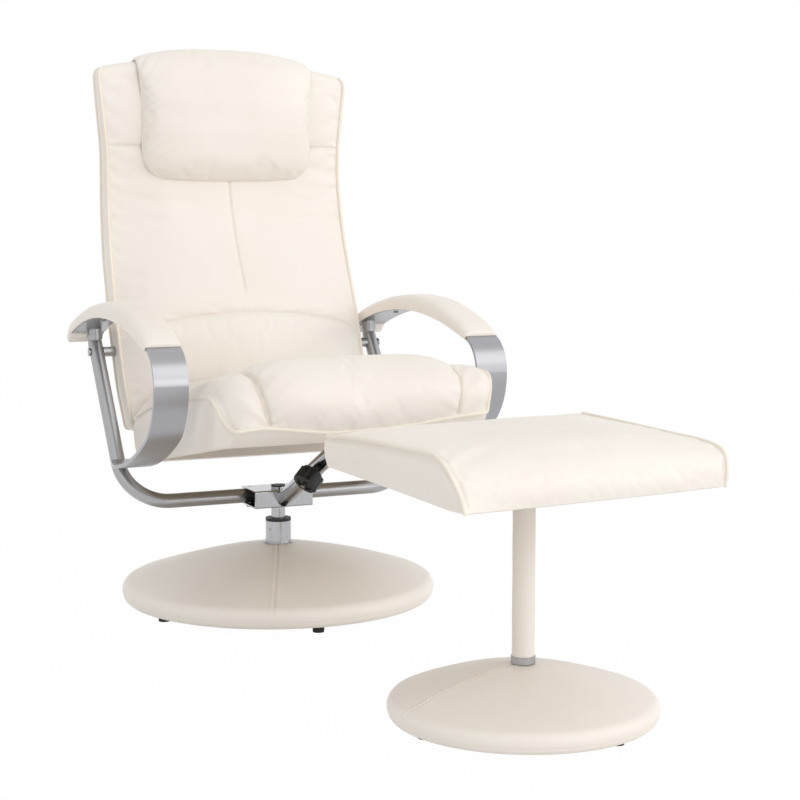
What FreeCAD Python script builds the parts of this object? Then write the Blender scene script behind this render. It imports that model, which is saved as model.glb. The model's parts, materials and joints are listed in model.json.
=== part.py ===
import FreeCAD, Part
import math
import os

# Recliner with footstool, in millimetres, +Z up, the sitter faces -Y.
# Everything is drawn about the chair's swivel axis and moved along Y at the end,
# so that the origin lies on the floor under the middle of the whole set.

os.makedirs("parts", exist_ok=True)
V = FreeCAD.Vector

# Clearances
overrun = 6.0            # cutting tools run past the faces that they cut
fix_gap = 0.1            # between pieces that are fixed to each other
run_gap = 0.06           # radial play of a turning or sliding fit
pass_gap = 0.8           # between pieces that move past each other

# Covered bases of the chair and the footstool
base_r = 275.0
base_rim = 19.0          # round of the rim
base_top = 111.0         # height of the dome at its axis
base_bulge = 7.0         # how far the dome stands above a plain cone
stool_base_r = 186.0
stool_base_rim = 16.0
stool_base_top = 88.0
stool_base_bulge = 6.0
shoulder_angle = 70.0    # where the dome runs into the rim, degrees above level
skin = 2.0               # covering of leatherette
hem = 70.0               # covering turned under the base
foot_h = 13.0
foot_r = 9.5
foot_top_r = 10.5
foot_count = 5
foot_ring_r = 235.0
foot_turn = 50.0         # direction of the first foot, degrees
stool_foot_count = 3
stool_foot_ring_r = 147.0
stool_foot_turn = 53.0
screw_r = 2.5
screw_head_r = 4.5
screw_head_h = 3.0
screw_grip = 22.0
foot_recess = 5.0        # depth of the screw head's pocket

# Swivel
socket_r = 22.5
socket_wall = 3.5
socket_top = 148.0
flange_r = 65.0
flange_t = 4.0
flange_bolt_count = 4
flange_bolt_ring_r = 48.0
trim_w = 3.0
trim_t = 1.2
post_r = 12.5
bush_len = 30.0
bush_lip = 5.0
bush_floor = 4.0
cap_t = 2.5
set_screw_r = 2.5
set_screw_turn = 210.0   # direction in which the set screw points, degrees
set_screw_drop = 14.0    # below the socket's top

# Bracket and U-shaped frame tube
tube_r = 12.7
tube_wall = 2.0
tube_y = 28.0
tube_z = 191.0
frame_lean = 36.0        # degrees from upright
post_x = 268.0
bend_r = 80.0
pivot_s = 307.0          # back pivot, measured up the post from the cross tube
post_end = 20.0          # post above the pivot
bracket_len = 107.0
bracket_wall = 2.5
bracket_front = -31.0
bracket_rear = 41.0
bracket_bolt_r = 4.0
bracket_bolt_x = 42.0
hex_r = 7.5
hex_h = 5.0

# Reclining strut
strut_r = 14.0
strut_wall = 2.0
strut_incline = 25.4     # degrees
strut_z = 192.648        # height at the bracket's front face
strut_len = 252.5
strut_bush_len = 22.0
strut_lip_t = 5.0
slider_r = 10.0
slider_wall = 2.0
slider_back = 76.5       # rear end of the slider, from the bracket
guide_len = 14.0
eye_s = 284.5            # slider's eye, from the bracket
eye_r = 11.0
eye_w = 14.0
eye_play = 2.6           # play of the pin in the eye, which lets the linkage close
knob_s = 180.5
knob_turn = 45.0         # knob's axis below level, degrees
knob_r = 22.0
knob_h = 24.0
knob_lobes = 6
lobe_cut_r = 9.0
lobe_ring_r = 29.0
knob_dish_r = 14.0
knob_dish = 2.0
stud_r = 4.0
stud_len = 34.0
washer_t = 2.0
washer_r = 11.0
slide_travel = 58.0

# Arms
strap_w = 56.0
strap_t = 6.0
strap_x = 278.0          # middle of the strap
strap_start_z = 262.0    # lower end, where it is welded to the post
strap_run = 24.0
strap_low_r = 525.0
strap_low_turn = 30.0
strap_front_r = 107.0
strap_front_turn = 60.0
strap_nose_r = 58.0
strap_nose_turn = 72.0
strap_top_r = 750.0
strap_top_turn = 37.00028
strap_taper = 21.0       # strap narrower at the weld, on its outer edge
strap_taper_len = 95.0
riser_r = 12.0
ring_w = 7.0
ring_t = 1.6
arm_pad_w = 66.0
arm_pad_t = 25.0
arm_pad_past = 1.6       # pad past the rear end of the strap, degrees of its arc
arm_screw_turn = 9.0     # arm screws each side of the strap's top, degrees
arm_screw_grip = 12.0

# Backrest: a line in side view that the piping follows, from the lower end upwards
back_y = 134.0
back_z = 327.0
back_rise = 69.0         # degrees above level
back_low = 295.0         # straight lower part
back_bend_r = 500.0
back_high = 158.0        # straight upper part
back_half_w = 232.0
back_bed = 10.0          # cushion behind the piping
board_t = 12.0
back_board_half_w = 215.0
back_depth = 48.0
back_rear_crown = 14.0
back_crown = 55.0        # fullness of the lumbar swell in front of the piping
plate_t = 5.0
plate_up = 110.0
plate_down = 80.0
pivot_bolt_r = 6.0
pivot_head_r = 7.5
pivot_head_h = 2.2
pivot_bush_r = 9.0
spacer_r = 9.0
pillow_half_w = 166.0
pillow_t = 50.0
pillow_low = 440.0       # along the back line
pillow_high = 664.0
flap_half_w = 150.0
flap_t = 18.0
flap_bend = 8.0          # round of the flap over the edge of the back
flap_drop = 80.0         # flap down the rear of the back

# Seat
seat_half_w = 228.0
seat_rear = 112.0
seat_rear_low = 249.0
seat_front = -398.0
seat_tilt = 10.3         # degrees, front edge up
seat_rise = 74.0         # middle roll above the side piping at the front
seat_skirt = 22.0        # skirt below the board
seat_wall = 22.0
seat_nose_wall = 48.4    # padding in front of the board
seat_board_t = 15.0
dust_t = 1.5
hinge_y = 140.0
hinge_z = 300.0
hinge_x = 150.0
hinge_eye_r = 11.0
hinge_pin_r = 4.0
lug_t = 6.0
clevis_t = 4.0
clevis_base = 46.0

# Footstool
stool_x = 45.0
stool_y = -841.0
stool_turn = 7.0         # the stool stands a little askew, degrees
column_r = 14.0
column_wall = 2.0
sleeve_t = 1.5
collar_h = 9.5
collar_t = 3.0
stool_half_w = 215.0
stool_half_d = 166.0
stool_low_rear = 352.0
stool_low_front = 336.0
stool_side_rear = 396.0  # side piping's height at the rear
stool_crown = 14.0
stool_board_t = 15.0
stool_wall = 18.0
stool_skirt = 6.0
stool_plate_half = 70.0
stool_plate_t = 4.0
stool_screw_place = 50.0

# Places that follow from the sizes above
tube_in = tube_r - tube_wall
lean = math.radians(frame_lean)
pivot_y = tube_y + pivot_s * math.sin(lean)
pivot_z = tube_z + pivot_s * math.cos(lean)
slope = math.radians(strut_incline)
eye_y = bracket_front - eye_s * math.cos(slope)
eye_z = strut_z + eye_s * math.sin(slope)
core_low = foot_h + skin + fix_gap
flange_top = core_low + flange_t
socket_in = socket_r - socket_wall
bracket_half = tube_r + fix_gap + bracket_wall
bracket_top = tube_z + bracket_half
bracket_low = tube_z - bracket_half
board_side = -back_bed - fix_gap
board_rear_side = board_side - board_t

parts = {}


def rod(radius, start, end):
    axis = end.sub(start)
    return Part.makeCylinder(radius, axis.Length, start, axis)


def pipe(radius, bore, start, end):
    return rod(radius, start, end).cut(rod(bore, start, end))


def block(low, high):
    size = high.sub(low)
    return Part.makeBox(size.x, size.y, size.z, low)


def group(shapes):
    return Part.makeCompound(shapes)


def mirrored(shape):
    return shape.mirror(V(0, 0, 0), V(1, 0, 0))


def line(first, last):
    return Part.LineSegment(first, last).toShape()


def arc(first, middle, last):
    return Part.Arc(first, middle, last).toShape()


def around(count, radius, first):
    turns = [math.radians(first + number * 360.0 / count) for number in range(count)]
    return [V(radius * math.cos(turn), radius * math.sin(turn), 0) for turn in turns]


def hexagon(radius, low, height):
    corners = [V(radius * math.cos(math.radians(60 * side)), radius * math.sin(math.radians(60 * side)), 0)
               for side in range(7)]
    face = Part.Face(Part.makePolygon(corners))
    solid = face.extrude(V(0, 0, height))
    solid.translate(low)
    return solid


# A side view path is a start, a heading in degrees and moves of (length, 0) or (radius, turn).
# side is the distance to the left of the path.
def walk(path, side):
    start, heading, moves = path
    y, z = start
    turn = math.radians(heading)
    edges = []
    for size, bend in moves:
        first = V(0, y - side * math.sin(turn), z + side * math.cos(turn))
        if bend == 0:
            y = y + size * math.cos(turn)
            z = z + size * math.sin(turn)
            last = V(0, y - side * math.sin(turn), z + side * math.cos(turn))
            edges.append(line(first, last))
        else:
            way = math.copysign(1, bend)
            mid_y = y - way * size * math.sin(turn)
            mid_z = z + way * size * math.cos(turn)
            reach = way * size - side
            half = turn + math.radians(bend) / 2
            turn = turn + math.radians(bend)
            middle = V(0, mid_y + reach * math.sin(half), mid_z - reach * math.cos(half))
            last = V(0, mid_y + reach * math.sin(turn), mid_z - reach * math.cos(turn))
            edges.append(arc(first, middle, last))
            y = mid_y + way * size * math.sin(turn)
            z = mid_z - way * size * math.cos(turn)
    return edges


# Place and left-hand direction on a path, at a distance from its start.
def along(path, distance):
    start, heading, moves = path
    y, z = start
    turn = math.radians(heading)
    left = distance
    for number, (size, bend) in enumerate(moves):
        run = size if bend == 0 else size * abs(math.radians(bend))
        step = left if number == len(moves) - 1 else min(left, run)
        if bend == 0:
            y = y + step * math.cos(turn)
            z = z + step * math.sin(turn)
        else:
            way = math.copysign(1, bend)
            mid_y = y - way * size * math.sin(turn)
            mid_z = z + way * size * math.cos(turn)
            turn = turn + way * step / size
            y = mid_y + way * size * math.sin(turn)
            z = mid_z - way * size * math.cos(turn)
        left = left - step
    return V(0, y, z), V(0, -math.sin(turn), math.cos(turn))


# A band of even thickness along a path, drawn out along X.
def band(path, low_side, high_side, x_low, x_high):
    low = walk(path, low_side)
    high = walk(path, high_side)
    ends = [line(low[0].firstVertex(True).Point, high[0].firstVertex(True).Point),
            line(low[-1].lastVertex(True).Point, high[-1].lastVertex(True).Point)]
    wire = Part.Wire(Part.__sortEdges__(low + high + ends))
    solid = Part.Face(wire).extrude(V(x_high - x_low, 0, 0))
    solid.translate(V(x_low, 0, 0))
    return solid


def outline(points, x_low, x_high):
    corners = [V(x_low, y, z) for y, z in points]
    face = Part.Face(Part.makePolygon(corners + corners[:1]))
    return face.extrude(V(x_high - x_low, 0, 0))


# A plate in side view with a round eye at one end.
def lug(eye, radius, foot, x_low, x_high):
    disc = rod(radius, V(x_low, eye[0], eye[1]), V(x_high, eye[0], eye[1]))
    web = outline(foot, x_low, x_high)
    return disc.fuse(web).removeSplitter()


def dome(radius, rim, top, bulge, low):
    middle = V(radius - rim, 0, low + rim)
    angle = math.radians(shoulder_angle)
    shoulder = middle + V(rim * math.cos(angle), 0, rim * math.sin(angle))
    crest = V(0, 0, top)
    swell = (crest + shoulder) * 0.5 + V(0, 0, bulge)
    under = V(radius - rim, 0, low)
    centre = V(0, 0, low)
    edges = [arc(crest, swell, shoulder), arc(shoulder, middle + V(rim, 0, 0), under),
             line(under, centre), line(centre, crest)]
    return Part.Face(Part.Wire(edges)).revolve(V(0, 0, 0), V(0, 0, 1), 360)


# Covered base: leatherette skin, weighted core, feet and the screws that hold them.
def covered_base(radius, rim, top, bulge, hole_r, plate_r, spots):
    outer = dome(radius, rim, top, bulge, foot_h)
    inner = dome(radius - skin, rim - skin, top - skin, bulge, foot_h + skin)
    shrink = skin + fix_gap
    core = dome(radius - shrink, rim - shrink, top - shrink, bulge, core_low)
    mouth = rod(radius - hem, V(0, 0, foot_h - overrun), V(0, 0, core_low))
    bore = rod(hole_r, V(0, 0, 0), V(0, 0, top + overrun))
    plate = rod(plate_r + fix_gap, V(0, 0, 0), V(0, 0, flange_top + fix_gap))
    feet = []
    screws = []
    holes = []
    for spot in spots:
        foot = Part.makeCone(foot_r, foot_top_r, foot_h, spot)
        pocket = rod(screw_head_r + fix_gap, spot, spot + V(0, 0, foot_recess))
        hole = rod(screw_r + fix_gap, spot, spot + V(0, 0, foot_h + screw_grip + fix_gap))
        feet.append(foot.cut(pocket).cut(hole))
        sunk = spot + V(0, 0, foot_recess - screw_head_h)
        head = rod(screw_head_r, sunk, spot + V(0, 0, foot_recess - fix_gap))
        shank = rod(screw_r, sunk, spot + V(0, 0, foot_h + screw_grip))
        screws.append(head.fuse(shank).removeSplitter())
        holes.append(hole)
    cover = outer.cut(inner).cut(mouth).cut(bore).cut(group(holes))
    core = core.cut(bore).cut(plate).cut(group(holes))
    return cover, core, group(feet), screws


# Flat headed screws through a flange at the underside of a base.
def flange_screws(places):
    shapes = []
    holes = []
    for place in places:
        foot = place + V(0, 0, core_low)
        top = foot + V(0, 0, flange_t + screw_grip)
        shapes.append(rod(screw_r, foot, top))
        holes.append(rod(screw_r + fix_gap, foot - V(0, 0, overrun), top + V(0, 0, fix_gap)))
    return shapes, group(holes)


def chair_base():
    spots = around(foot_count, foot_ring_r, foot_turn)
    cover, core, feet, screws = covered_base(base_r, base_rim, base_top, base_bulge,
                                             socket_r + fix_gap, flange_r, spots)
    bolts, holes = flange_screws(around(flange_bolt_count, flange_bolt_ring_r, foot_turn))
    flange = rod(flange_r, V(0, 0, core_low), V(0, 0, flange_top)).cut(holes)
    parts["base_cover"] = cover
    parts["base_core"] = core.cut(holes)
    parts["base_feet"] = feet
    parts["socket_flange"] = flange
    parts["base_screws"] = group(screws + bolts)


def swivel_socket():
    turn = math.radians(set_screw_turn)
    out = V(math.cos(turn), math.sin(turn), 0)
    height = V(0, 0, socket_top - set_screw_drop)
    hole = rod(set_screw_r + fix_gap, height, height + out * (socket_r + overrun))
    tube = pipe(socket_r, socket_in, V(0, 0, flange_top + fix_gap), V(0, 0, socket_top))
    parts["socket_tube"] = tube.cut(hole)
    tip = height + out * (socket_in + fix_gap)
    parts["socket_set_screw"] = rod(set_screw_r, tip, height + out * socket_r)
    trim = pipe(socket_r + trim_w, socket_r + fix_gap, V(0, 0, base_top), V(0, 0, base_top + trim_t))
    parts["socket_trim"] = trim
    sleeve_r = socket_in - fix_gap
    bore = post_r + run_gap
    low = V(0, 0, flange_top + fix_gap)
    brim = low + V(0, 0, bush_floor + bush_len)
    parts["lower_bush"] = rod(sleeve_r, low, brim).cut(rod(bore, low + V(0, 0, bush_floor), brim))
    sleeve = pipe(sleeve_r, bore, V(0, 0, socket_top - bush_len), V(0, 0, socket_top + bush_lip))
    lip = pipe(socket_r, bore, V(0, 0, socket_top + fix_gap), V(0, 0, socket_top + bush_lip))
    parts["upper_bush"] = sleeve.fuse(lip).removeSplitter()
    foot = low + V(0, 0, bush_floor + run_gap)
    head = V(0, 0, bracket_top + cap_t)
    parts["swivel_post"] = rod(post_r, foot, head)
    parts["post_cap"] = rod(post_r, head + V(0, 0, fix_gap), head + V(0, 0, fix_gap + cap_t))


def frame_point(x, s):
    return V(x, tube_y + s * math.sin(lean), tube_z + s * math.cos(lean))


# U-shaped tube in its leaning plane: post, bend, cross tube, bend, post.
def frame_pipe(radius):
    top = pivot_s + post_end
    knee = bend_r * (1 - math.sqrt(0.5))
    near = post_x - bend_r
    edges = [line(frame_point(-post_x, top), frame_point(-post_x, bend_r)),
             arc(frame_point(-post_x, bend_r), frame_point(knee - post_x, knee), frame_point(-near, 0)),
             line(frame_point(-near, 0), frame_point(near, 0)),
             arc(frame_point(near, 0), frame_point(post_x - knee, knee), frame_point(post_x, bend_r)),
             line(frame_point(post_x, bend_r), frame_point(post_x, top))]
    start = frame_point(-post_x, top)
    ring = Part.Wire([Part.Circle(start, frame_point(0, 0).sub(frame_point(0, 1)), radius).toShape()])
    return Part.Wire(edges).makePipeShell([ring], True, False)


def swivel_frame():
    half = bracket_len / 2
    outer = block(V(-half, bracket_front, bracket_low), V(half, bracket_rear, bracket_top))
    inner = block(V(-half - overrun, bracket_front + bracket_wall, bracket_low + bracket_wall),
                  V(half + overrun, bracket_rear + overrun, bracket_top - bracket_wall))
    bends = [edge for edge in outer.Edges if abs(edge.CenterOfMass.y - bracket_front) < fix_gap
             and abs(edge.CenterOfMass.x) < fix_gap]
    channel = outer.makeFillet(bracket_wall, bends).cut(inner)
    post_hole = rod(post_r + fix_gap, V(0, 0, bracket_low - overrun), V(0, 0, bracket_top + overrun))
    # Bolts from below, through the tube and into the upper flange.
    bolts = []
    holes = []
    for x in (-bracket_bolt_x, bracket_bolt_x):
        top = V(x, tube_y, bracket_top)
        low = V(x, tube_y, bracket_low)
        shank = rod(bracket_bolt_r, low - V(0, 0, hex_h), top)
        bolts.append(hexagon(hex_r, low - V(0, 0, hex_h), hex_h).fuse(shank).removeSplitter())
        holes.append(rod(bracket_bolt_r + fix_gap, low - V(0, 0, overrun), top + V(0, 0, overrun)))
    parts["swivel_bracket"] = channel.cut(post_hole).cut(group(holes))
    parts["bracket_bolts"] = group(bolts)
    far = post_x + tube_r + overrun
    bolt_hole = rod(pivot_bolt_r + fix_gap, V(-far, pivot_y, pivot_z), V(far, pivot_y, pivot_z))
    tube = frame_pipe(tube_r).cut(frame_pipe(tube_in))
    parts["frame_tube"] = tube.cut(group(holes)).cut(bolt_hole)


def strut_place(shape):
    turn = FreeCAD.Rotation(V(1, 0, 0), 90 - strut_incline)
    shape.Placement = FreeCAD.Placement(V(0, bracket_front, strut_z), turn).multiply(shape.Placement)
    return shape


# The strut is drawn along its own Z, from the bracket's front face, and then put in place.
def strut():
    angle = math.radians(knob_turn)
    out = V(-math.cos(angle), -math.sin(angle), 0)
    tube = pipe(strut_r, strut_r - strut_wall, V(0, 0, -strut_r), V(0, 0, strut_len))
    slot_r = stud_r + pass_gap
    slot_low = V(0, 0, knob_s)
    slot_high = V(0, 0, knob_s + slide_travel)
    side = V(-out.y, out.x, 0) * slot_r
    deep = out * (strut_r + overrun)
    corners = [slot_low + side, slot_high + side, slot_high - side, slot_low - side, slot_low + side]
    slot = Part.Face(Part.makePolygon(corners)).extrude(deep)
    slot = slot.fuse(rod(slot_r, slot_low, slot_low + deep)).fuse(rod(slot_r, slot_high, slot_high + deep))
    cut_off = block(V(-strut_r * 2, bracket_front - fix_gap, 0), V(strut_r * 2, bracket_rear, eye_z))
    parts["strut_tube"] = strut_place(tube.cut(slot)).cut(cut_off)

    bore = slider_r + run_gap
    collar = pipe(strut_r, bore, V(0, 0, strut_len + fix_gap), V(0, 0, strut_len + strut_lip_t))
    sleeve_low = strut_len - strut_bush_len
    sleeve_r = strut_r - strut_wall - fix_gap
    sleeve = pipe(sleeve_r, bore, V(0, 0, sleeve_low), V(0, 0, strut_len + strut_lip_t))
    slot_room = slot.copy()
    parts["strut_bush"] = strut_place(collar.fuse(sleeve).removeSplitter().cut(slot_room))

    shoulder = eye_s - eye_r - eye_play * 2
    plug_low = shoulder - slider_r
    body = pipe(slider_r, slider_r - slider_wall, V(0, 0, slider_back), V(0, 0, shoulder))
    disc = rod(eye_r, V(-eye_w / 2, 0, eye_s), V(eye_w / 2, 0, eye_s))
    neck = rod(slider_r, V(0, 0, plug_low), V(0, 0, eye_s - slider_r / 2))
    flat = block(V(-eye_w / 2, -slider_r, 0), V(eye_w / 2, slider_r, eye_s + eye_r))
    pin_hole = rod(hinge_pin_r + eye_play, V(-eye_w, 0, eye_s), V(eye_w, 0, eye_s))
    stud_hole = rod(stud_r + run_gap, V(0, 0, knob_s), V(0, 0, knob_s) + deep)
    eye = disc.fuse(neck.common(flat))
    plug = rod(slider_r, V(0, 0, plug_low), V(0, 0, shoulder))
    slider = body.fuse(plug).fuse(eye).removeSplitter().cut(pin_hole).cut(stud_hole)
    parts["strut_slider"] = strut_place(slider)
    guide_r = strut_r - strut_wall - run_gap
    guide = pipe(guide_r, slider_r + fix_gap, V(0, 0, slider_back), V(0, 0, slider_back + guide_len))
    parts["slider_guide"] = strut_place(guide)

    face = strut_r + pass_gap
    root = V(0, 0, knob_s)
    stud = rod(stud_r, root + out * (slider_r - slider_wall), root + out * (face + stud_len - slider_wall))
    washer_hole = rod(stud_r + fix_gap, root, root + deep * 2)
    washer = rod(washer_r, root + out * face, root + out * (face + washer_t))
    parts["knob_stud"] = strut_place(stud)
    parts["knob_washer"] = strut_place(washer.cut(washer_hole))
    knob = lobed_knob()
    aim = FreeCAD.Rotation(V(0, 0, 1), out)
    knob.Placement = FreeCAD.Placement(V(0, 0, knob_s) + out * (face + washer_t + fix_gap), aim)
    parts["clamp_knob"] = strut_place(knob)


def lobed_knob():
    knob = rod(knob_r, V(0, 0, 0), V(0, 0, knob_h))
    knob = knob.makeFillet(washer_t, [knob.Edges[0]])
    cuts = [rod(lobe_cut_r, place - V(0, 0, overrun), place + V(0, 0, knob_h + overrun))
            for place in around(knob_lobes, lobe_ring_r, 0)]
    dish = rod(knob_dish_r, V(0, 0, knob_h - knob_dish), V(0, 0, knob_h + overrun))
    depth = stud_len - slider_wall - washer_t
    socket = rod(stud_r + fix_gap, V(0, 0, -overrun), V(0, 0, depth))
    return knob.cut(group(cuts)).cut(dish).cut(socket)


def strap_path():
    post_front = tube_y + (strap_start_z - tube_z) * math.tan(lean) - tube_r / math.cos(lean)
    start = (post_front - strap_t, strap_start_z)
    moves = [(strap_run, 0), (strap_low_r, -strap_low_turn), (strap_front_r, -strap_front_turn),
             (strap_nose_r, -strap_nose_turn), (strap_top_r, -strap_top_turn)]
    return start, 180.0, moves


def strap_length(moves):
    return sum(size if bend == 0 else size * abs(math.radians(bend)) for size, bend in moves)


# Along the pad from the front as a share, and thickness as a share.
pad_shares = [(0, 0.5), (0.06, 0.72), (0.28, 1.0), (0.5, 0.98), (0.74, 0.86), (0.93, 0.74)]
pad_edge_share = 0.5        # pad's side walls, as a share of its thickness there


# Sitter's left arm: steel strap, padded top, and the short riser between post and strap.
def arm():
    path = strap_path()
    low = strap_x - strap_w / 2
    high = strap_x + strap_w / 2
    strap = band(path, -strap_t / 2, strap_t / 2, low, high)
    # The outer edge runs in towards the weld.
    rear = path[0][0]
    inner = high - strap_taper
    outer = high + overrun
    plan = [V(inner, rear, 0), V(inner, rear + overrun, 0), V(outer, rear + overrun, 0),
            V(outer, rear - strap_taper_len, 0), V(high, rear - strap_taper_len, 0)]
    corner = Part.Face(Part.makePolygon(plan + plan[:1])).extrude(V(0, 0, strap_start_z + strap_w))
    strap = strap.cut(corner)
    end = strap_length(path[2])
    top = strap_length(path[2][:-1])
    past = math.radians(arm_pad_past) * strap_top_r
    stations = [(top + share * (end - top), thick) for share, thick in pad_shares]
    stations.append((end + past, pad_shares[0][1]))
    wires = []
    half = arm_pad_w / 2
    for distance, thick in stations:
        place, out = along(path, distance)
        base = place + out * (strap_t / 2 + fix_gap)
        edge = base + out * (arm_pad_t * thick * pad_edge_share)
        crest = base + out * (arm_pad_t * thick)
        corner = [V(strap_x - half, 0, 0), V(strap_x + half, 0, 0)]
        wires.append(Part.Wire([line(base + corner[0], base + corner[1]),
                                line(base + corner[1], edge + corner[1]),
                                arc(edge + corner[1], crest + V(strap_x, 0, 0), edge + corner[0]),
                                line(edge + corner[0], base + corner[0])]))
    pad = Part.makeLoft(wires, True, False)
    screws = []
    crown = top + (end - top) / 2
    for side in (-1, 1):
        place, out = along(path, crown + side * math.radians(arm_screw_turn) * strap_top_r)
        place = place + V(strap_x, 0, 0)
        under = place - out * (strap_t / 2)
        head = rod(screw_head_r, under - out * screw_head_h, under - out * fix_gap)
        tip = under + out * (strap_t + arm_screw_grip * pad_shares[4][1])
        screws.append(head.fuse(rod(screw_r, under - out * screw_head_h, tip)).removeSplitter())
        hole = rod(screw_r + fix_gap, under - out * overrun, tip + out * fix_gap)
        strap = strap.cut(hole)
        pad = pad.cut(hole)
    above = band(path, -strap_t / 2 - fix_gap, strap_x, low - strap_w, high + strap_w)
    foot = frame_point(post_x, pivot_s + post_end)
    riser = rod(riser_r, foot - V(0, 0, tube_r), foot + V(0, 0, strap_top_r / 2)).cut(above)
    riser = max(riser.Solids, key=lambda solid: -solid.BoundBox.ZMin)
    post = rod(tube_r + fix_gap, frame_point(post_x, 0), frame_point(post_x, pivot_s + post_end + fix_gap))
    riser = riser.cut(post)
    ring_low = foot + V(0, 0, tube_r * math.sin(lean) + fix_gap)
    ring = pipe(riser_r + ring_t, riser_r + fix_gap, ring_low, ring_low + V(0, 0, ring_w))
    return strap, pad, screws, riser, ring


def arms():
    strap, pad, screws, riser, ring = arm()
    parts["arm_strap_left"] = strap
    parts["arm_strap_right"] = mirrored(strap)
    parts["arm_pad_left"] = pad
    parts["arm_pad_right"] = mirrored(pad)
    parts["arm_screws"] = group(screws + [mirrored(screw) for screw in screws])
    parts["arm_risers"] = group([riser, mirrored(riser)])
    parts["riser_rings"] = group([ring, mirrored(ring)])


def back_path():
    return (back_y, back_z), back_rise, [(back_low, 0), (back_bend_r, 90 - back_rise), (back_high, 0)]


def back_length():
    return back_low + back_bend_r * math.radians(90 - back_rise) + back_high


# The back's line, drawn out past both of its ends.
def longer(path):
    start, heading, moves = path
    turn = math.radians(heading)
    more = (start[0] - overrun * math.cos(turn), start[1] - overrun * math.sin(turn))
    return more, heading, [(moves[0][0] + overrun, 0), moves[1], (moves[2][0] + overrun, 0)]


# Distance along the back as a share, half width as a share, front fullness as a share, depth as a share.
back_shares = [(0.0, 0.97, 0.25, 0.80), (0.10, 1.0, 0.72, 1.0), (0.23, 1.0, 1.0, 1.0),
               (0.265, 1.0, 0.88, 1.0), (0.31, 1.0, 0.90, 1.0), (0.50, 0.985, 0.54, 1.0),
               (0.66, 0.97, 0.30, 0.94), (0.70, 0.97, 0.25, 0.92), (0.76, 0.97, 0.22, 0.88),
               (0.80, 0.975, 0.22, 0.84), (0.92, 1.01, 0.20, 0.74), (0.985, 1.02, 0.16, 0.62),
               (1.0, 1.0, 0.10, 0.5)]


def back_cushions():
    path = back_path()
    whole = back_length()
    fronts = []
    rears = []
    for place_share, width_share, full_share, depth_share in back_shares:
        place, out = along(path, place_share * whole)
        wide = V(back_half_w * width_share, 0, 0)
        bed = place - out * (back_bed + overrun)
        crest = place + out * (back_crown * full_share)
        fronts.append(Part.Wire([line(bed - wide, place - wide), arc(place - wide, crest, place + wide),
                                 line(place + wide, bed + wide), line(bed + wide, bed - wide)]))
        front = place - out * (back_bed - overrun)
        rear = place - out * (back_depth * depth_share)
        hump = rear - out * (back_rear_crown * depth_share)
        rears.append(Part.Wire([line(front - wide, front + wide), line(front + wide, rear + wide),
                                arc(rear + wide, hump, rear - wide), line(rear - wide, front - wide)]))
    far = back_depth + back_crown
    wide = back_half_w * 2
    behind = band(longer(path), -far, -back_bed, -wide, wide)
    before = band(longer(path), -back_bed - fix_gap, far, -wide, wide)
    return Part.makeLoft(fronts, True, False).cut(behind), Part.makeLoft(rears, True, False).cut(before)


# Side plate of the back, flat against the edge of its board, with the pivot hole.
def side_plate(x_low, x_high, grow):
    path = back_path()
    near = (pivot_z - back_z) / math.sin(math.radians(back_rise))
    first, out = along(path, near - plate_down)
    last = along(path, near + plate_up)[0]
    front = board_side + grow
    rear = -back_depth * back_shares[0][3] + board_t / 2 - grow
    ends = [first + out * front, last + out * front, last + out * rear, first + out * rear]
    return outline([(end.y, end.z) for end in ends], x_low, x_high)


def backrest():
    path = back_path()
    cushion, shell = back_cushions()
    board = band(path, board_rear_side, board_side, -back_board_half_w, back_board_half_w)
    inner = back_board_half_w + fix_gap
    room = band(path, board_rear_side - fix_gap, -back_bed + overrun, -inner, inner)
    outer = inner + plate_t
    pocket = side_plate(inner - fix_gap, outer + fix_gap, fix_gap)
    axis_low = V(0, pivot_y, pivot_z)
    axis_high = V(back_half_w + overrun, pivot_y, pivot_z)
    reach = back_board_half_w - pivot_head_r
    bolt_room = rod(pivot_bush_r + fix_gap, axis_low + V(reach, 0, 0), axis_high)
    shell = shell.cut(room).cut(pocket).cut(mirrored(pocket)).cut(bolt_room).cut(mirrored(bolt_room))
    plate = side_plate(inner, outer, 0)
    plate = plate.cut(rod(pivot_bush_r + fix_gap, axis_low, axis_high))
    bush_bore = pivot_bolt_r + run_gap
    bush = pipe(pivot_bush_r, bush_bore, V(inner, pivot_y, pivot_z), V(outer + pass_gap, pivot_y, pivot_z))
    parts["back_board"] = board
    parts["back_shell"] = shell
    parts["back_cushion"] = cushion
    parts["back_side_plates"] = group([plate, mirrored(plate)])
    parts["back_pivot_bushes"] = group([bush, mirrored(bush)])

    post_inner = post_x - tube_r
    post_outer = post_x + tube_r
    spacer_end = back_half_w + pass_gap
    spacer = pipe(spacer_r, pivot_bolt_r + fix_gap, V(spacer_end, pivot_y, pivot_z),
                  V(post_inner + tube_wall, pivot_y, pivot_z))
    post = rod(tube_r + fix_gap, frame_point(post_x, 0), frame_point(post_x, pivot_s + post_end))
    spacer = spacer.cut(post)
    seat_face = V(post_outer + fix_gap, pivot_y, pivot_z)
    bolt = rod(pivot_bolt_r, V(inner, pivot_y, pivot_z), seat_face)
    head = rod(pivot_head_r, seat_face, V(post_outer + pivot_head_h, pivot_y, pivot_z))
    head = head.makeFillet(fix_gap * pivot_head_h, head.Edges)
    bolt = bolt.fuse(head).removeSplitter()
    parts["pivot_bolts"] = group([bolt, mirrored(bolt)])
    parts["pivot_spacers"] = group([spacer, mirrored(spacer)])


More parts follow.
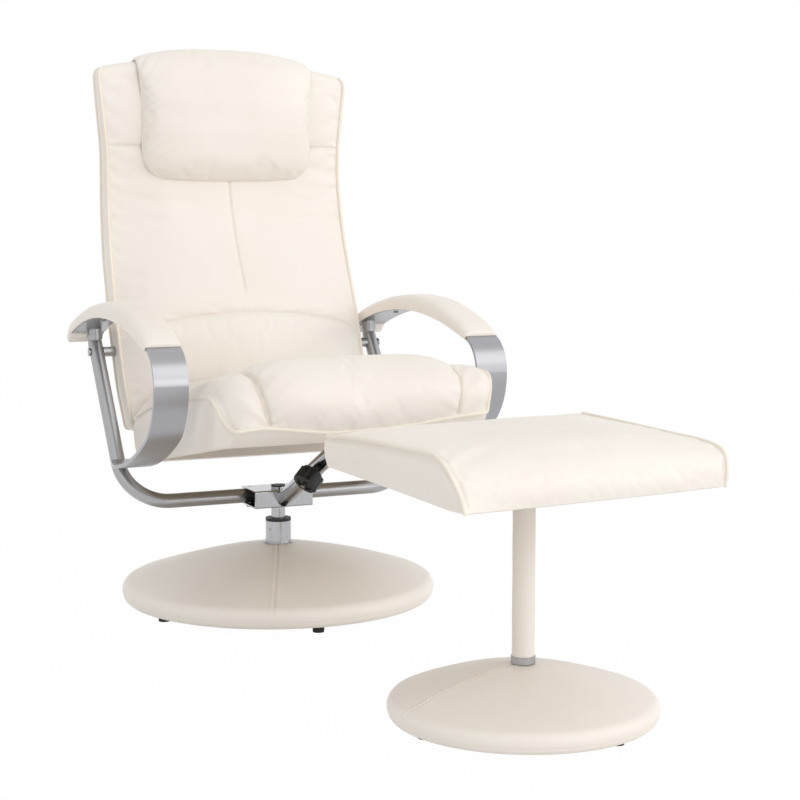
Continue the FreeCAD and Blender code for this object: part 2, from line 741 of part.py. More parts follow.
# Along the pillow from its lower edge as a share, half width as a share, fullness as a share.
pillow_shares = [(0.0, 0.90, 0.30), (0.08, 0.975, 0.74), (0.32, 1.0, 1.0), (0.62, 1.0, 0.92),
                 (0.86, 1.02, 0.66), (1.0, 0.99, 0.36)]
pillow_rest_share = 0.34    # pillow's rear in front of the back's line, as a share of the swell
pillow_edge_share = 0.3     # pillow's edge, as a share of its thickness there


def head_pillow():
    path = back_path()
    rest = back_crown * pillow_rest_share + fix_gap
    wires = []
    for place_share, width_share, full_share in pillow_shares:
        place, out = along(path, pillow_low + place_share * (pillow_high - pillow_low))
        wide = V(pillow_half_w * width_share, 0, 0)
        rear = place + out * rest
        edge = rear + out * (pillow_t * full_share * pillow_edge_share)
        crest = rear + out * (pillow_t * full_share)
        wires.append(Part.Wire([line(rear - wide, edge - wide), arc(edge - wide, crest, edge + wide),
                                line(edge + wide, rear + wide), line(rear + wide, rear - wide)]))
    parts["head_pillow"] = Part.makeLoft(wires, True, False)

    # The flap leaves the pillow's top, crosses the top of the back and hangs behind it.
    top, out = along(path, back_length())
    start = top + out * (rest - fix_gap)
    span = rest + (back_depth + back_rear_crown) * back_shares[-4][3] - flap_bend
    flap = ((start.y, start.z + fix_gap), 0.0, [(span, 0), (flap_bend, -90), (flap_drop, 0)])
    parts["pillow_flap"] = band(flap, 0, flap_t, -flap_half_w, flap_half_w)


def seat_bottom(y):
    return seat_rear_low + (seat_rear - y) * math.tan(math.radians(seat_tilt))


# Across the seat: place as a share of its half width, and fullness as a share of the middle roll's.
seat_shares = [(-1.0, 0.0), (-0.965, 0.24), (-0.87, 0.50), (-0.735, 0.42), (-0.665, 0.74),
               (-0.35, 0.97), (0.0, 1.0)]
# Side view: places along the seat as shares of its depth from the rear, then heights above the bottom
# of the side and of the roll, as shares of the rise.
seat_top_shares = [(0.03, 1.05, 0.62), (0.46, 1.09, 0.68), (0.865, 0.93, 1.0)]
seat_nose_shares = (0.955, 1.02, 0.035)


def seat_wire(x, rise_share):
    depth = seat_rear - seat_front
    tops = []
    for place_share, side_share, roll_share in seat_top_shares:
        y = seat_rear - place_share * depth
        tops.append(V(x, y, seat_bottom(y) + seat_rise * (side_share + roll_share * rise_share)))
    rear = V(x, seat_rear, seat_bottom(seat_rear))
    toe_y = seat_rear - seat_nose_shares[0] * depth
    toe = V(x, toe_y, seat_bottom(toe_y))
    nose_y = seat_rear - (seat_nose_shares[1] + seat_nose_shares[2] * rise_share) * depth
    nose_z = (seat_bottom(nose_y) + tops[2].z) / 2
    return Part.Wire([line(rear, toe), arc(toe, V(x, nose_y, nose_z), tops[2]),
                      arc(tops[2], tops[1], tops[0]), line(tops[0], rear)])


def tilted_slab(low, high, y_rear, y_front, x_half):
    points = [(y_rear, seat_bottom(y_rear) + low), (y_rear, seat_bottom(y_rear) + high),
              (y_front, seat_bottom(y_front) + high), (y_front, seat_bottom(y_front) + low)]
    return outline(points, -x_half, x_half)


def seat():
    half = [seat_wire(seat_half_w * place, rise) for place, rise in seat_shares]
    other = [seat_wire(-seat_half_w * place, rise) for place, rise in reversed(seat_shares[:-1])]
    cushion = Part.makeLoft(half + other, True, False)
    room_half = seat_half_w - seat_wall
    room_rear = seat_rear - seat_wall
    room_front = seat_front + seat_nose_wall
    board_top = seat_skirt + seat_board_t
    room = tilted_slab(-overrun, board_top + fix_gap, room_rear, room_front, room_half)
    lug_half = lug_t * 2
    slots = []
    for x in (-hinge_x, hinge_x):
        low = V(x - lug_half, room_rear - overrun, seat_rear_low - overrun)
        high = V(x + lug_half, hinge_y, hinge_z + hinge_eye_r + overrun)
        slots.append(block(low, high))
    parts["seat_cushion"] = cushion.cut(room).cut(group(slots))
    board_rear = room_rear - fix_gap
    board_front = room_front + fix_gap
    parts["seat_board"] = tilted_slab(seat_skirt, board_top, board_rear, board_front, room_half - fix_gap)
    dust_top = seat_skirt - fix_gap
    dust = tilted_slab(dust_top - dust_t, dust_top, room_rear - seat_wall, room_front + seat_wall,
                       room_half - seat_wall)
    cheek_half = eye_w / 2 + pass_gap
    clevis_half = cheek_half + clevis_t
    parts["seat_dust_cover"] = dust.cut(block(V(-clevis_half - overrun, eye_y - clevis_base, 0),
                                              V(clevis_half + overrun, eye_y + clevis_base, base_r * 2)))

    # Clevis under the board that holds the strut's eye.
    board_low = seat_skirt - fix_gap
    base_rear = eye_y + clevis_base / 2
    base_front = eye_y - clevis_base / 2
    base = tilted_slab(board_low - clevis_t, board_low, base_rear, base_front, clevis_half)
    sink = board_low - clevis_t / 2
    cheek_rear = eye_y + eye_r
    cheek_front = eye_y - eye_r
    foot = [(cheek_rear, seat_bottom(cheek_rear) + sink), (cheek_front, seat_bottom(cheek_front) + sink),
            (cheek_front, eye_z), (cheek_rear, eye_z)]
    cheek = lug((eye_y, eye_z), eye_r, foot, cheek_half, clevis_half)
    far = clevis_half + overrun
    hole = rod(hinge_pin_r + fix_gap, V(-far, eye_y, eye_z), V(far, eye_y, eye_z))
    clevis = base.fuse(cheek).fuse(mirrored(cheek)).removeSplitter()
    parts["strut_clevis"] = clevis.cut(hole)
    pin_half = clevis_half + clevis_t
    parts["clevis_pin"] = rod(hinge_pin_r, V(-pin_half, eye_y, eye_z), V(pin_half, eye_y, eye_z))


# Hinges between the lower end of the back and the rear of the seat.
def seat_hinges():
    path = back_path()
    place, out = along(path, 0)
    up = V(0, out.z, -out.y)
    down = place - up * fix_gap
    feet = [down + out * board_side, down + out * board_rear_side]
    eye = (hinge_y, hinge_z)
    back_foot = [(feet[0].y, feet[0].z), (feet[1].y, feet[1].z),
                 (hinge_y + hinge_eye_r, hinge_z), (hinge_y - hinge_eye_r, hinge_z)]
    hole = rod(hinge_pin_r + run_gap, V(-base_r, hinge_y, hinge_z), V(base_r, hinge_y, hinge_z))
    tight = rod(hinge_pin_r + fix_gap, V(-base_r, hinge_y, hinge_z), V(base_r, hinge_y, hinge_z))
    rear = seat_rear - seat_wall
    low = seat_bottom(rear) + seat_skirt
    seat_foot = [(rear, low), (rear, low + seat_board_t),
                 (hinge_y, hinge_z + hinge_eye_r), (hinge_y, hinge_z - hinge_eye_r)]
    back_lugs = []
    seat_lugs = []
    pins = []
    inner = lug_t / 2
    for x in (-hinge_x, hinge_x):
        back_lugs.append(lug(eye, hinge_eye_r, back_foot, x - inner, x + inner).cut(hole))
        for side in (-1, 1):
            near = x + side * (inner + pass_gap / 2)
            far = near + side * lug_t / 2
            seat_lugs.append(lug(eye, hinge_eye_r, seat_foot, min(near, far), max(near, far)).cut(tight))
        reach = lug_t + pass_gap
        pins.append(rod(hinge_pin_r, V(x - reach, hinge_y, hinge_z), V(x + reach, hinge_y, hinge_z)))
    parts["back_hinge_lugs"] = group(back_lugs)
    parts["seat_hinge_lugs"] = group(seat_lugs)
    parts["seat_hinge_pins"] = group(pins)


# Across the stool's pad: place as a share of its half width, and fullness as a share of the crown.
stool_shares = [(-1.0, 0.0), (-0.94, 0.45), (-0.6, 0.9), (0.0, 1.0), (0.6, 0.9), (0.94, 0.45), (1.0, 0.0)]
stool_swell_share = 0.14             # middle above the rear edge, as a share of the side's height
# Where the front starts to fall, as shares of the half depth and of the crown.
stool_brow_shares = (0.76, 0.6)
# The foremost line, as shares of the half depth and of the side's height.
stool_nose_shares = (1.0, 0.55)


def stool_bottom(y):
    share = (stool_half_d - y) / (stool_half_d * 2)
    return stool_low_rear + (stool_low_front - stool_low_rear) * share


def stool_wire(x, crown_share):
    crown = stool_crown * crown_share
    tall = stool_side_rear - stool_low_rear
    rear = V(x, stool_half_d, stool_bottom(stool_half_d))
    toe = V(x, -stool_half_d, stool_bottom(-stool_half_d))
    back = V(x, stool_half_d, stool_side_rear)
    middle = V(x, 0, stool_side_rear + tall * stool_swell_share + crown)
    brow = V(x, -stool_half_d * stool_brow_shares[0], stool_side_rear + crown * stool_brow_shares[1])
    nose_y = -stool_half_d * stool_nose_shares[0] - crown / 2
    nose = V(x, nose_y, stool_side_rear - tall * stool_nose_shares[1])
    return Part.Wire([line(rear, toe), arc(toe, nose, brow), arc(brow, middle, back), line(back, rear)])


def footstool():
    spots = around(stool_foot_count, stool_foot_ring_r, stool_foot_turn)
    plate_r = stool_plate_half
    cover, core, feet, screws = covered_base(stool_base_r, stool_base_rim, stool_base_top, stool_base_bulge,
                                             column_r + fix_gap, plate_r, spots)
    bolts, holes = flange_screws(around(flange_bolt_count, stool_screw_place, stool_foot_turn))
    flange = rod(plate_r, V(0, 0, core_low), V(0, 0, flange_top)).cut(holes)
    wires = [stool_wire(stool_half_w * place, crown) for place, crown in stool_shares]
    pad = Part.makeLoft(wires, True, False)
    room_low = min(stool_low_front, stool_low_rear) - overrun
    board_low = stool_low_rear + stool_skirt
    board_top = board_low + stool_board_t
    half = V(stool_half_w - stool_wall, stool_half_d - stool_wall, 0)
    room = block(V(-half.x, -half.y, room_low), V(half.x, half.y, board_top + fix_gap))
    slack = V(fix_gap, fix_gap, 0)
    board = block(V(0, 0, board_low) - half + slack, V(0, 0, board_top) + half - slack)
    plate = V(stool_plate_half, stool_plate_half, 0)
    plate_top = board_low - fix_gap
    plate_low = plate_top - stool_plate_t
    top_plate = block(V(0, 0, plate_low) - plate, V(0, 0, plate_top) + plate)
    tops = []
    top_holes = []
    for x in (-stool_screw_place, stool_screw_place):
        for y in (-stool_screw_place, stool_screw_place):
            place = V(x, y, plate_low)
            head = rod(screw_head_r, place - V(0, 0, screw_head_h), place - V(0, 0, fix_gap))
            tip = V(x, y, board_top - screw_head_h)
            tops.append(head.fuse(rod(screw_r, place - V(0, 0, screw_head_h), tip)).removeSplitter())
            top_holes.append(rod(screw_r + fix_gap, place - V(0, 0, overrun), tip + V(0, 0, fix_gap)))
    sleeve_low = stool_base_top + collar_h + fix_gap
    column_top = V(0, 0, plate_low - fix_gap)
    sleeve = pipe(column_r + sleeve_t, column_r + fix_gap, V(0, 0, sleeve_low), column_top)
    collar_low = V(0, 0, stool_base_top)
    collar = pipe(column_r + collar_t, column_r + fix_gap, collar_low, collar_low + V(0, 0, collar_h))
    column = pipe(column_r, column_r - column_wall, V(0, 0, flange_top + fix_gap), column_top)
    stool = {"stool_base_cover": cover, "stool_base_core": core.cut(holes), "stool_feet": feet,
             "stool_flange": flange, "stool_base_screws": group(screws + bolts),
             "stool_column": column,
             "stool_collar": collar, "stool_column_sleeve": sleeve,
             "stool_top_plate": top_plate.cut(group(top_holes)), "stool_plate_screws": group(tops),
             "stool_board": board.cut(group(top_holes)), "stool_cushion": pad.cut(room)}
    for name, shape in stool.items():
        shape.rotate(V(0, 0, 0), V(0, 0, 1), stool_turn)
        shape.translate(V(stool_x, stool_y, 0))
        parts[name] = shape


chair_base()
swivel_socket()
swivel_frame()
strut()
arms()
backrest()
head_pillow()
seat()
seat_hinges()
footstool()

# Move the set so that the origin is under the middle of its box, and write one file per piece.
box = Part.makeCompound(list(parts.values())).optimalBoundingBox(False, False)
shift = V(-box.Center.x, -box.Center.y, 0)
for name, shape in parts.items():
    shape.translate(shift)
    sound = all(solid.isValid() for solid in shape.Solids)
    if not shape.Solids or not sound:
        print("unsound", name, len(shape.Solids))
    shape.exportStep("parts/" + name + ".step")
print("pieces", len(parts), "box", round(box.XLength, 2), round(box.YLength, 2), round(box.ZLength, 2))
print("low", round(box.ZMin, 3), "shift", round(shift.x, 4), round(shift.y, 4))
print("pivot", round(pivot_y, 4), round(pivot_z, 4), "hinge", hinge_y, hinge_z)
print("eye", round(eye_y, 4), round(eye_z, 4))
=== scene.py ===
import json
import math
import bpy
import bmesh
import numpy as np
from mathutils import Matrix, Vector


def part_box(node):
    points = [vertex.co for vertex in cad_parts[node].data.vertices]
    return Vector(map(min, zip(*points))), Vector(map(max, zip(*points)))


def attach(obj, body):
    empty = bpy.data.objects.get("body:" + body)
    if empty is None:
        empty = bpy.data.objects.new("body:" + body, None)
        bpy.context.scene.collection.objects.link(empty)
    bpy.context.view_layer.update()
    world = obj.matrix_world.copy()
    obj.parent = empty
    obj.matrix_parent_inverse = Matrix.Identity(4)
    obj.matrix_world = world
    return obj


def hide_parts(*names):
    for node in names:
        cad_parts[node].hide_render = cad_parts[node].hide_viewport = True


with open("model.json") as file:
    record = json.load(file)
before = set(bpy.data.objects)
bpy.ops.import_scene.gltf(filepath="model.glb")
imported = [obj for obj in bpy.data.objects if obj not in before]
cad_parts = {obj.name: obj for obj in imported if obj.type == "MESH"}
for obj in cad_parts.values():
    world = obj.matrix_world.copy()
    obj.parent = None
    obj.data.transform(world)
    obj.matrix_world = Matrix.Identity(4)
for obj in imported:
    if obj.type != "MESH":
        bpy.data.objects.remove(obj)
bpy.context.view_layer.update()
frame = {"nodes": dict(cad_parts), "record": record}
cad = frame["nodes"]
print("frame loaded:", len(cad), "pieces")

# All sizes are millimetres about the swivel axis: +Z is up, the sitter faces -Y, +X is the sitter's left.
postLow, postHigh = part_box("swivel_post")
axisY = (postLow[1] + postHigh[1]) / 2 * 1000.0
stoolX, stoolY = 45.0, -841.0  # the footstool's column


def toRoom(points):  # millimetres about the swivel axis to metres in the frame
    return (np.asarray(points, float) + (0.0, axisY, 0.0)) / 1000.0


# natural cubic spline: the bends at the knots come from one linear system, then each span is a cubic
def splineThrough(at, knots, values):
    x = np.asarray(knots, float)
    y = np.asarray(values, float).reshape(len(x), -1)
    at = np.asarray(at, float)
    h = np.diff(x)
    system = np.zeros((len(x), len(x)))
    system[0, 0] = system[-1, -1] = 1.0
    i = np.arange(1, len(x) - 1)
    system[i, i - 1] = h[:-1]
    system[i, i] = 2.0 * (h[:-1] + h[1:])
    system[i, i + 1] = h[1:]
    right = np.zeros_like(y)
    right[1:-1] = 6.0 * ((y[2:] - y[1:-1]) / h[1:, None] - (y[1:-1] - y[:-2]) / h[:-1, None])
    bend = np.linalg.solve(system, right)
    k = np.clip(np.searchsorted(x, at) - 1, 0, len(h) - 1)
    a = (x[k + 1] - at) / h[k]
    b = 1.0 - a
    cubic = (a**3 - a)[:, None] * bend[k] + (b**3 - b)[:, None] * bend[k + 1]
    return a[:, None] * y[k] + b[:, None] * y[k + 1] + cubic * (h[k]**2)[:, None] / 6.0


def runAlong(line):  # length along a line of points, from 0 at the first
    steps = np.linalg.norm(np.diff(line, axis=0), axis=1)
    return np.concatenate([[0.0], np.cumsum(steps)])


def chordLine(points, count):  # a spline through points, evenly spaced by chord length
    points = np.asarray(points, float)
    run = runAlong(points)
    return splineThrough(np.linspace(0.0, run[-1], count), run, points)


def softShare(at, knots, values, blur):  # straight spans between knots, averaged over a small window
    offsets = np.linspace(-blur, blur, 9)
    return np.mean([np.interp(at + offset, knots, values) for offset in offsets], axis=0)


def ease(x):  # smooth step from 0 to 1
    x = np.clip(x, 0.0, 1.0)
    return x * x * (3.0 - 2.0 * x)


def roundOff(x):  # quarter circle from 0 to 1
    return np.sqrt(np.maximum(1.0 - (1.0 - np.clip(x, 0.0, 1.0))**2, 0.0))


def flatRound(count, edge, crown):  # half a round with full shoulders: powers of the cosine and the sine
    turn = np.linspace(0.0, math.pi, count)
    return -np.sign(np.cos(turn)) * np.abs(np.cos(turn))**edge, np.sin(turn)**crown


def crossFull(t, power):  # fullness across a pad: half a parabola, half a flatter top
    return 0.5 * (1.0 - t**2) + 0.5 * (1.0 - np.abs(t)**power)


def groove(distance, width):  # bell of height 1 across a seam
    return np.exp(-(distance / width)**2)


def seamDip(distance, soft, sharp):  # a soft hollow with a sharp line in it, each (depth, width)
    return soft[0] * groove(distance, soft[1]) + sharp[0] * groove(distance, sharp[1])


# waves of one step along a line, slanted by the distance from it, their spacing swaying slowly
def ripples(along, aside, deep, step, slant, sway, swayRun):
    return deep * np.sin(2 * math.pi * (along + slant * aside) / step + sway * np.sin(along / swayRun))


# plane waves in random directions, averaged: about -deep to deep
def slowWaves(a, b, deep, lengths, seed):
    draw = np.random.default_rng(seed)
    total = np.zeros(np.broadcast(a, b).shape)
    for length in lengths:
        turn, phase = draw.uniform(0.0, math.pi), draw.uniform(0.0, 2.0 * math.pi)
        along = a * math.cos(turn) + b * math.sin(turn)
        total = total + np.sin(along * 2.0 * math.pi / length + phase)
    return deep * total / len(lengths)


# values from low to high, closer together round the spots, where a bell of height gain adds to the density
def crowded(low, high, count, spots, width, gain):
    fine = np.linspace(low, high, 6000)
    density = 1.0 + gain * np.sum([groove(fine - spot, width) for spot in spots], axis=0)
    run = np.concatenate([[0.0], np.cumsum((density[1:] + density[:-1]) / 2.0)])
    return np.interp(np.linspace(0.0, run[-1], count), run, fine)


# unit normals of a grid, from the cross product of its slopes, on the side of facing
def outward(points, facing):
    normal = np.cross(np.gradient(points, axis=1), np.gradient(points, axis=0))
    normal = normal / np.maximum(np.linalg.norm(normal, axis=2, keepdims=True), 1e-9)
    return normal * math.copysign(1.0, float((normal @ np.asarray(facing)).mean()))


def sinkIn(points, facing, depth):  # a grid moved inwards along its normals
    return points - outward(points, facing) * depth[..., None]


def gridFaces(rows, cols, wrap, start):  # four corners of every cell of a grid
    r = np.arange(rows - 1)[:, None]
    c = np.arange(cols if wrap else cols - 1)[None, :]
    a = start + r * cols + c
    b = start + r * cols + (c + 1) % cols
    return np.stack([a, b, b + cols, a + cols], -1).reshape(-1, 4).tolist()


# one mesh from grids: blocks are (points of rows x columns x 3, wrap), caps are rings closed by one face
def makePiece(name, blocks, body, finish, sharp, caps=(), weld=0.03):
    spots, faces, start = [], [], 0
    for points, wrap in blocks:
        rows, cols = points.shape[:2]
        faces += gridFaces(rows, cols, wrap, start)
        spots.append(points.reshape(-1, 3))
        start += rows * cols
    for ring in caps:
        faces.append(list(range(start, start + len(ring))))
        spots.append(ring)
        start += len(ring)
    mesh = bpy.data.meshes.new(name)
    mesh.from_pydata(toRoom(np.concatenate(spots)).tolist(), [], faces)
    work = bmesh.new()
    work.from_mesh(mesh)
    bmesh.ops.remove_doubles(work, verts=work.verts, dist=weld / 1000.0)
    bmesh.ops.dissolve_degenerate(work, edges=work.edges, dist=1e-6)
    bmesh.ops.recalc_face_normals(work, faces=work.faces)
    work.to_mesh(mesh)
    work.free()
    mesh.shade_smooth()
    mesh.set_sharp_from_angle(angle=math.radians(sharp))
    piece = bpy.data.objects.new(name, mesh)
    bpy.context.scene.collection.objects.link(piece)
    mesh.materials.append(finish)
    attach(piece, body)
    return piece


# a round profile carried along a path, one radius for each point; guide is a direction the path never takes
def tubeGrid(path, radius, sides, guide):
    along = np.gradient(path, axis=0)
    along /= np.linalg.norm(along, axis=1, keepdims=True)
    across = np.cross(along, np.broadcast_to(guide, along.shape))
    across /= np.linalg.norm(across, axis=1, keepdims=True)
    other = np.cross(along, across)
    turn = np.linspace(0.0, 2.0 * math.pi, sides, endpoint=False)
    ring = np.cos(turn)[None, :, None] * across[:, None] + np.sin(turn)[None, :, None] * other[:, None]
    return path[:, None] + ring * radius[:, None, None]


piping = {"sides": 10, "ends": (0.15, 0.7, 0.95), "sharp": 80.0}


# a covered cord: a round tube along a path, its first and last rings drawn in and closed
def makePiping(name, path, body, finish, radius, guide=(1.0, 0.0, 0.0)):
    shrink = np.ones(len(path))
    shrink[:3] = piping["ends"]
    shrink[-3:] = piping["ends"][::-1]
    grid = tubeGrid(path, radius * shrink, piping["sides"], guide)
    makePiece(name, [(grid, True)], body, finish, piping["sharp"], caps=(grid[0], grid[-1]))


def evenPicks(line, count):  # the points of a line nearest to an even spacing, and the line's lengths
    run = runAlong(line)
    wanted = np.linspace(0.0, run[-1], count)
    return np.unique(np.abs(run[None, :] - wanted[:, None]).argmin(1)), run


stuffing = {"frames": 20, "quality": 4, "mass": 0.4, "stretch": 12.0, "shear": 6.0, "bend": 1.2}


# cloth on evenly spaced rows and columns of an open grid: pressure from inside, edge and seams held,
# the movement capped, then spread back over the whole grid by splines
def stuffGrid(points, held, facing, press, slack, cap):
    rows, cols = points.shape[:2]
    pickR, runR = evenPicks(points[:, cols // 2], rows // 2)
    pickC, runC = evenPicks(points[rows // 2], cols // 2)
    coarse = points[np.ix_(pickR, pickC)]
    slopes = np.cross(np.gradient(coarse, axis=1), np.gradient(coarse, axis=0))
    outside = math.copysign(1.0, float((slopes @ np.asarray(facing)).sum()))
    faces = gridFaces(len(pickR), len(pickC), False, 0)
    mesh = bpy.data.meshes.new("stuffing")
    mesh.from_pydata(toRoom(coarse.reshape(-1, 3)).tolist(), [], faces)
    cover = bpy.data.objects.new("stuffing", mesh)
    bpy.context.scene.collection.objects.link(cover)
    pins = np.nonzero(held[np.ix_(pickR, pickC)].reshape(-1))[0]
    cover.vertex_groups.new(name="held").add(pins.tolist(), 1.0, "REPLACE")
    cloth = cover.modifiers.new("cloth", "CLOTH")
    cloth.settings.quality = stuffing["quality"]
    cloth.settings.mass = stuffing["mass"]
    cloth.settings.tension_stiffness = cloth.settings.compression_stiffness = stuffing["stretch"]
    cloth.settings.shear_stiffness = stuffing["shear"]
    cloth.settings.bending_stiffness = stuffing["bend"]
    cloth.settings.vertex_group_mass = "held"
    cloth.settings.use_pressure = True
    cloth.settings.uniform_pressure_force = press * outside
    cloth.settings.shrink_min = -slack
    cloth.settings.effector_weights.gravity = 0.0
    cloth.collision_settings.use_collision = False
    cloth.collision_settings.use_self_collision = False
    cloth.point_cache.frame_start = 1
    cloth.point_cache.frame_end = stuffing["frames"]
    for number in range(1, stuffing["frames"] + 1):
        bpy.context.scene.frame_set(number)
    shaped = cover.evaluated_get(bpy.context.evaluated_depsgraph_get())
    flat = np.empty(len(mesh.vertices) * 3)
    shaped.data.vertices.foreach_get("co", flat)
    moved = flat.reshape(coarse.shape) * 1000.0 - (0.0, axisY, 0.0) - coarse
    size = np.linalg.norm(moved, axis=2, keepdims=True)
    moved = moved * np.tanh(size / cap) * cap / np.maximum(size, 1e-6)
    print("  stuffed: largest move", round(float(size.max()), 1), "mm, kept to", cap)
    bpy.context.scene.frame_set(1)
    bpy.data.objects.remove(cover)
    bpy.data.meshes.remove(mesh)
    spread = splineThrough(runR, runR[pickR], moved.reshape(len(pickR), -1)).reshape(rows, len(pickC), 3)
    spread = splineThrough(runC, runC[pickC], spread.swapaxes(0, 1).reshape(len(pickC), -1))
    return points + spread.reshape(cols, rows, 3).swapaxes(0, 1)


# a panel between two side profiles: each column is its side's profile, moved towards the middle one by full
def layPanel(pad, u, full, wide):
    right, middle, left = (chordLine(pad[name], pad["rows"]) for name in ("rightSide", "middle", "leftSide"))
    side = np.where((u > 0)[None, :, None], left[:, None], right[:, None])
    panel = np.zeros((pad["rows"], pad["cols"], 3))
    panel[..., 0] = u[None, :] * wide[:, None]
    panel[..., 1:] = side + full[None, :, None] * (middle[:, None] - side)
    return panel


def panelRing(panel):  # outline of a panel: its right side, front, left side and rear
    return np.concatenate([panel[:, 0], panel[-1, 1:], panel[::-1, -1][1:], panel[0, ::-1][1:-1]])


# the band from a panel's outline down to its hem: a half sine of swell, a dip under the piping, then the rim
def boxingBand(ring, low, away, band, tall=1.0):
    dip, dipAt, dipWide = band["dip"]
    rows = [ring]
    for share in crowded(0.0, 1.0, band["rows"], (band["closeAt"],), *band["close"])[1:]:
        swell = band["swell"] * math.sin(math.pi * share) - dip * groove(share - dipAt, dipWide)
        rows.append(ring + (low - ring) * share + away * tall * swell)
    rows.append(low - (0.0, 0.0, band["rimDown"]) - away * band["rimIn"])
    return rows


def hexColour(text):  # sRGB hex to linear colour
    value = np.array([int(text[k:k + 2], 16) for k in (1, 3, 5)]) / 255.0
    linear = np.where(value <= 0.04045, value / 12.92, ((value + 0.055) / 1.055)**2.4)
    return (*linear.tolist(), 1.0)


def addNode(tree, kind, links=(), inputs=(), **settings):  # links are (own input, other node, its output)
    node = tree.nodes.new(kind)
    for key, value in settings.items():
        setattr(node, key, value)
    for key, value in inputs:
        node.inputs[key].default_value = value
    for own, other, output in links:
        tree.links.new(other.outputs[output], node.inputs[own])
    return node


def newMaterial(name, base, roughness, metallic=0.0):  # one plain shader to start from
    material = bpy.data.materials.new(name)
    material.use_nodes = True
    tree = material.node_tree
    shader = tree.nodes["Principled BSDF"]
    shader.inputs["Base Color"].default_value = hexColour(base)
    shader.inputs["Roughness"].default_value = roughness
    shader.inputs["Metallic"].default_value = metallic
    return material, tree, shader


def mixTones(tree, shader, first, second, source, low, high):  # colour between two tones, by a pattern
    ramp = addNode(tree, "ShaderNodeMapRange", [("Value", source, 0)], [("From Min", low), ("From Max", high)])
    mix = addNode(tree, "ShaderNodeMix", [("Factor", ramp, 0)], data_type="RGBA")
    mix.inputs[6].default_value = hexColour(first)
    mix.inputs[7].default_value = hexColour(second)
    tree.links.new(mix.outputs[2], shader.inputs["Base Color"])


def roughBetween(tree, shader, source, smooth, rough):  # roughness between two values, by a pattern
    span = addNode(tree, "ShaderNodeMapRange", [("Value", source, 0)], [("To Min", smooth), ("To Max", rough)])
    tree.links.new(span.outputs[0], shader.inputs["Roughness"])


# Leatherette: embossed PVC on cloth. Fine pebble grain, a soft broad sheen, and a faint change of tone
# where it is handled.
leatherLook = {"roughness": 0.42, "cloud": 160.0, "tones": (0.35, 0.68), "dent": 12.0, "rough": (0.36, 0.5),
               "dentBump": 0.25, "grainBump": 0.45}


def leatherette(name, first, second, grain, depth):  # grain and depth in millimetres
    material, tree, shader = newMaterial(name, first, leatherLook["roughness"])
    place = addNode(tree, "ShaderNodeTexCoord")
    clouds = addNode(tree, "ShaderNodeTexNoise", [("Vector", place, "Object")],
                     [("Scale", 1000.0 / leatherLook["cloud"]), ("Detail", 3.0)])
    mixTones(tree, shader, first, second, clouds, *leatherLook["tones"])
    # the real grain is about 1 mm: drawn coarser, so that it shows at this size
    pebble = addNode(tree, "ShaderNodeTexVoronoi", [("Vector", place, "Object")], [("Scale", 1000.0 / grain)])
    soft = addNode(tree, "ShaderNodeTexNoise", [("Vector", place, "Object")],
                   [("Scale", 1000.0 / leatherLook["dent"]), ("Detail", 2.0)])
    roughBetween(tree, shader, soft, *leatherLook["rough"])
    dents = addNode(tree, "ShaderNodeBump", [("Height", soft, 0)],
                    [("Strength", leatherLook["dentBump"]), ("Distance", depth * 0.002)])
    bump = addNode(tree, "ShaderNodeBump", [("Height", pebble, 0), ("Normal", dents, 0)],
                   [("Strength", leatherLook["grainBump"]), ("Distance", depth * 0.001)])
    tree.links.new(bump.outputs[0], shader.inputs["Normal"])
    return material


# Brushed or satin metal: fine lines in one direction blur the highlights across them.
metalLook = {"tones": (0.3, 0.7), "smooth": 0.86, "rough": 1.18, "bump": 0.08, "deep": 0.0001}


def brushedMetal(name, first, second, roughness, stretch, line):  # line is their spacing in millimetres
    material, tree, shader = newMaterial(name, first, roughness, 1.0)
    place = addNode(tree, "ShaderNodeTexCoord")
    turn = addNode(tree, "ShaderNodeMapping", [("Vector", place, "Object")], [("Scale", stretch)])
    # real lines are about 0.1 mm apart: drawn coarser, so that they show
    lines = addNode(tree, "ShaderNodeTexNoise", [("Vector", turn, 0)],
                    [("Scale", 1000.0 / line), ("Detail", 3.0)])
    mixTones(tree, shader, first, second, lines, *metalLook["tones"])
    roughBetween(tree, shader, lines, roughness * metalLook["smooth"], roughness * metalLook["rough"])
    bump = addNode(tree, "ShaderNodeBump", [("Height", lines, 0)],
                   [("Strength", metalLook["bump"]), ("Distance", metalLook["deep"])])
    tree.links.new(bump.outputs[0], shader.inputs["Normal"])
    return material


# Moulded plastic, rubber and other plain dull finishes: a fine spark-eroded grain in the bump.
mouldedLook = {"tones": (0.3, 0.7), "smooth": 0.85, "rough": 1.15, "bump": 0.3}


def mouldedFinish(name, first, second, roughness, grain, depth):  # grain and depth in millimetres
    material, tree, shader = newMaterial(name, first, roughness)
    place = addNode(tree, "ShaderNodeTexCoord")
    specks = addNode(tree, "ShaderNodeTexNoise", [("Vector", place, "Object")],
                     [("Scale", 1000.0 / grain), ("Detail", 2.0)])
    mixTones(tree, shader, first, second, specks, *mouldedLook["tones"])
    roughBetween(tree, shader, specks, roughness * mouldedLook["smooth"], roughness * mouldedLook["rough"])
    bump = addNode(tree, "ShaderNodeBump", [("Height", specks, 0)],
                   [("Strength", mouldedLook["bump"]), ("Distance", depth / 1000.0)])
    tree.links.new(bump.outputs[0], shader.inputs["Normal"])
    return material


